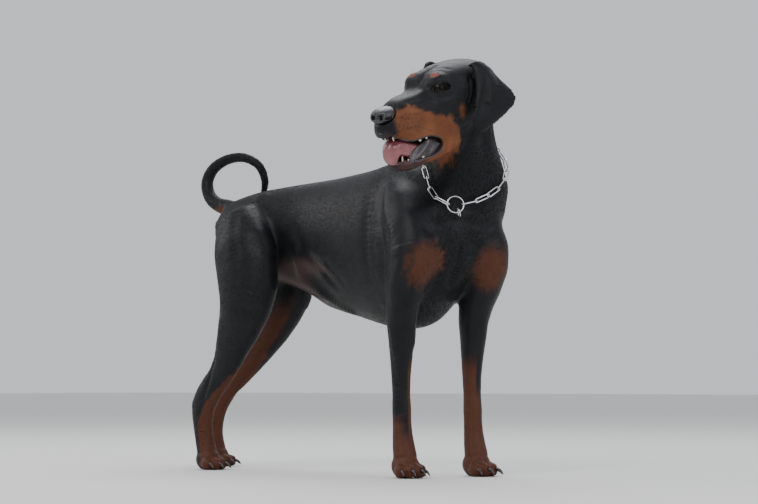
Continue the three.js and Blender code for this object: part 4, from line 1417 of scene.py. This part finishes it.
# Coat: short flat tufts over the skin, each a thin closed three-sided spike that lies along the body.
coatLay = {
    # part of the body: length and width of a tuft in mm, lift from the skin in radians, tufts per square cm
    "torso": (6.5, 0.75, 0.12, 36),
    "neck": (6.0, 0.75, 0.12, 38),
    "head": (3.2, 0.55, 0.13, 110),
    "lower_jaw": (3.0, 0.5, 0.13, 110),
    "ear": (3.2, 0.6, 0.12, 80),
    "foreleg": (4.6, 0.7, 0.12, 40),
    "hindleg": (5.5, 0.75, 0.12, 38),
    "paw": (3.0, 0.55, 0.12, 80),
    "tail": (6.0, 0.8, 0.15, 45),
}
# name: flesh nodes, and the stretch of the body from rear to front
coatPieces = {
    "coat_rump": (["torso"], (-1, -0.12)),
    "coat_ribs": (["torso"], (-0.12, 0.12)),
    "coat_chest": (["torso"], (0.12, 1)),
    "coat_neck": (["neck"], (-1, 1)),
    "coat_head": (["head", "lower_jaw"], (-1, 1)),
    "coat_ears_tail": (earNames + tailNames, (-1, 1)),
    "coat_forelegs": ([n for n in legNames if n.startswith("fore")], (-1, 1)),
    "coat_hindleg_left": (["hindleg_left", "hindpaw_left"], (-1, 1)),
    "coat_hindleg_right": (["hindleg_right", "hindpaw_right"], (-1, 1)),
}
tuftValues = {
    "patch": 0.003,  # size of a tuft on the unwrap
    "most": 41000,  # in one piece
    "root": 0.25 * mm,  # how deep its root sits
    "sway": 0.08,
    "lengths": (0.7, 1.15),
    "widths": (0.8, 1.2),
    "lifts": (0.5, 1.35),
    "ridge": (0.7, 0.12),  # height of its back as a share of half its width, and how far along it stands
    "shades": (-0.3, 0.4),
    "tanChange": 0.12,
    "quickShare": 8,
}


def layKind(name):
    for kind in coatLay:
        if name.startswith(kind):
            return kind
    return "paw" if "paw" in name else "torso"


def boxMiddle(name):
    low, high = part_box(name)
    return (np.array(low) + np.array(high)) / 2


# the way the coat lies on the back, on the chest and where the one becomes the other, then on other parts
trunkWays = {"back": (-1.0, 0.0, -0.22), "chest": (-0.15, 0, -1.0), "from": (0.22, 0.36)}
partWays = {"neck": (-0.35, 0.15, -1), "foreleg": (-0.25, 0, -1), "hindleg": (-0.35, 0, -1), "paw": (0.8, 0, -0.6)}


def coatWays(coords, region, edges):
    # the way the coat lies, before it is laid into the skin
    local = toHead(coords)
    ahead = fade(coords[:, 0], *trunkWays["from"])[:, None]
    ways = np.array(trunkWays["back"]) * (1 - ahead) + np.array(trunkWays["chest"]) * ahead
    for part, way in partWays.items():
        ways[inRegion(region, *[n for n in fleshNames if part in n])] = way
    headSkin = inRegion(region, "head", "lower_jaw")
    back = np.column_stack([np.full(len(local), -1.0), local[:, 1] * 0.008, -0.012 * (20 - local[:, 2])])
    back[:, 2] = np.clip(back[:, 2], -0.8, 0.2)
    ways[headSkin] = (back @ np.array(headPlace.to_3x3().normalized()).T)[headSkin]
    ways[inRegion(region, *earNames)] = headWay(0.15, 0, -1)
    root, middle, tip = (boxMiddle(n) for n in tailNames)
    for name, start, end in ((tailNames[0], root, middle), (tailNames[1], root, tip), (tailNames[2], middle, tip)):
        ways[inRegion(region, name)] = (end - start) / np.linalg.norm(end - start)
    return spread(ways, edges, np.ones(len(ways)), 14)


def unwrapSkin(skin):
    bpy.context.view_layer.objects.active = skin
    skin.select_set(True)
    bpy.ops.object.mode_set(mode="EDIT")
    bpy.ops.mesh.select_all(action="SELECT")
    bpy.ops.uv.smart_project(angle_limit=math.radians(66), island_margin=0.001)
    bpy.ops.object.mode_set(mode="OBJECT")
    skin.select_set(False)
    skin.data.uv_layers[0].name = "OFBake"


def skinTables(skin, region):
    # per triangle: corners, normal, area, unwrap, and the marks at its corners
    mesh = skin.data
    mesh.calc_loop_triangles()
    corners, loops = (numbersOf(mesh.loop_triangles, key, 3, np.int32) for key in ("vertices", "loops"))
    coords = coordsOf(mesh)
    a, b, c = (coords[corners[:, k]] for k in range(3))
    area = np.linalg.norm(np.cross(b - a, c - a), axis=1) / 2
    return {
        "corners": corners,
        "coords": coords,
        "normals": normalsOf(mesh),
        "area": area,
        "unwrap": numbersOf(mesh.uv_layers["OFBake"].data, "uv", 2)[loops],
        "region": region[corners[:, 0]],
        "ways": coatWays(coords, region, edgesOf(mesh)),
        "marks": {name: numbersOf(mesh.attributes[name].data, "value", 1, np.float32)[:, 0] for name in markNames},
    }


def makeCoatPiece(name, tables, nodes, stretch, material, dice):
    ahead = tables["coords"][tables["corners"][:, 0], 0]
    picked = np.where(inRegion(tables["region"], *nodes) & (ahead >= stretch[0]) & (ahead < stretch[1]))[0]
    kinds = np.array([layKind(n) for n in fleshNames])[tables["region"][picked]]
    values = np.array([coatLay[k] for k in kinds])
    weight = tables["area"][picked] * values[:, 3]
    marks = tables["marks"]
    hidden = np.maximum(np.maximum(marks["lip"], marks["lining"]), marks["bare"] * 0.7)[tables["corners"][picked, 0]]
    weight = weight * np.clip(1 - hidden * 1.5, 0, 1)
    v = tuftValues
    total = int(min(weight.sum() * 1e4, v["most"])) // 1
    chosen = dice.choice(len(picked), total, p=weight / weight.sum())
    length, width, lift = (values[chosen, k] for k in range(3))
    triangle = picked[chosen]
    r1, r2 = np.sqrt(dice.random(total)), dice.random(total)
    shares = np.column_stack([1 - r1, r1 * (1 - r2), r1 * r2])
    corners = tables["corners"][triangle]
    blend = lambda table: (table[corners] * shares[:, :, None]).sum(1)
    root, normal, way = blend(tables["coords"]), blend(tables["normals"]), blend(tables["ways"])
    normal /= np.linalg.norm(normal, axis=1)[:, None]
    way += dice.normal(0, v["sway"], way.shape) * np.linalg.norm(way, axis=1)[:, None]
    way -= normal * (way * normal).sum(1)[:, None]
    way /= np.linalg.norm(way, axis=1)[:, None] + 1e-9
    side = np.cross(normal, way)
    length = length * dice.uniform(*v["lengths"], total) * mm
    width = width * dice.uniform(*v["widths"], total) * mm / 2
    lift = lift * dice.uniform(*v["lifts"], total)
    base = root - normal * v["root"]
    tip = base + way * (length * np.cos(lift))[:, None] + normal * (length * np.sin(lift))[:, None]
    left, right = base + side * width[:, None], base - side * width[:, None]
    tall, forward = v["ridge"]
    ridge = base + normal * (width * tall)[:, None] + way * (length * forward)[:, None]
    verts = np.stack([left, right, ridge, tip], 1).reshape(-1, 3)
    start = np.arange(total)[:, None, None] * 4
    faces = (start + np.array([[0, 2, 1], [0, 3, 2], [2, 3, 1], [1, 3, 0]])[None]).reshape(-1, 3)
    mesh = bpy.data.meshes.new(name)
    mesh.vertices.add(len(verts))
    mesh.vertices.foreach_set("co", verts.ravel())
    mesh.loops.add(faces.size)
    mesh.loops.foreach_set("vertex_index", faces.ravel().astype(np.int32))
    mesh.polygons.add(len(faces))
    mesh.polygons.foreach_set("loop_start", np.arange(0, faces.size, 3, dtype=np.int32))
    mesh.update(calc_edges=True)
    centre = (tables["unwrap"][triangle] * shares[:, :, None]).sum(1)
    spots = np.array([[-0.5, -0.5], [0.5, -0.5], [0, 0], [0, 0.5]]) * v["patch"]
    layer = mesh.uv_layers.new(name="OFBake")
    uv = np.clip(centre[:, None, :] + spots[None], 0, 1).reshape(-1, 2)
    layer.data.foreach_set("uv", uv[faces.ravel()].ravel())
    for mark, table in marks.items():
        value = (table[corners] * shares).sum(1)
        if mark == "tan":
            value = np.clip(value + dice.normal(0, v["tanChange"], total) * (value > 0.03) * (value < 0.97), 0, 1)
        setAttribute(mesh, mark, np.repeat(value, 4))
    setAttribute(mesh, "shade", np.repeat(dice.uniform(*v["shades"], total), 4))
    print(name, total, "tufts")
    return dress(placed(name, mesh), material)


setCamera()
setStage()
coatMaterial = makeCoatMaterial()
skin = makeSkin()
region = nearestNode(coordsOf(skin.data))
paintMarks(skin, region)
print("markings painted")
dress(skin, coatMaterial, fleshNames)
skinTree = surfaceTree(skin.data)

wet = {name: makeWetMaterial(name, *values) for name, values in wetValues.items()}
eyeMaterial = makeEyeMaterial()
for side in sides:
    makeEye(side, eyeMaterial)
    makeLids(side, skinTree, coatMaterial)
makeNose(makeNoseMaterial())
makeTongue(wet["tongueSkin"])
makeLips(skinTree, wet["lipSkin"])
makeGums(wet["gum"])
makeCheekFolds(wet["lipSkin"])
makeTeeth(wet["tooth"])
makeClaws(wet["claw"])
makeChain(makeSteelMaterial())
makeWhiskers(skinTree, wet["whisker"])
print("small pieces made")

unwrapSkin(skin)
print("skin unwrapped")
tables = skinTables(skin, region)
dice = np.random.default_rng(7)
for name, (nodes, stretch) in coatPieces.items():
    makeCoatPiece(name, tables, nodes, stretch, coatMaterial, dice)
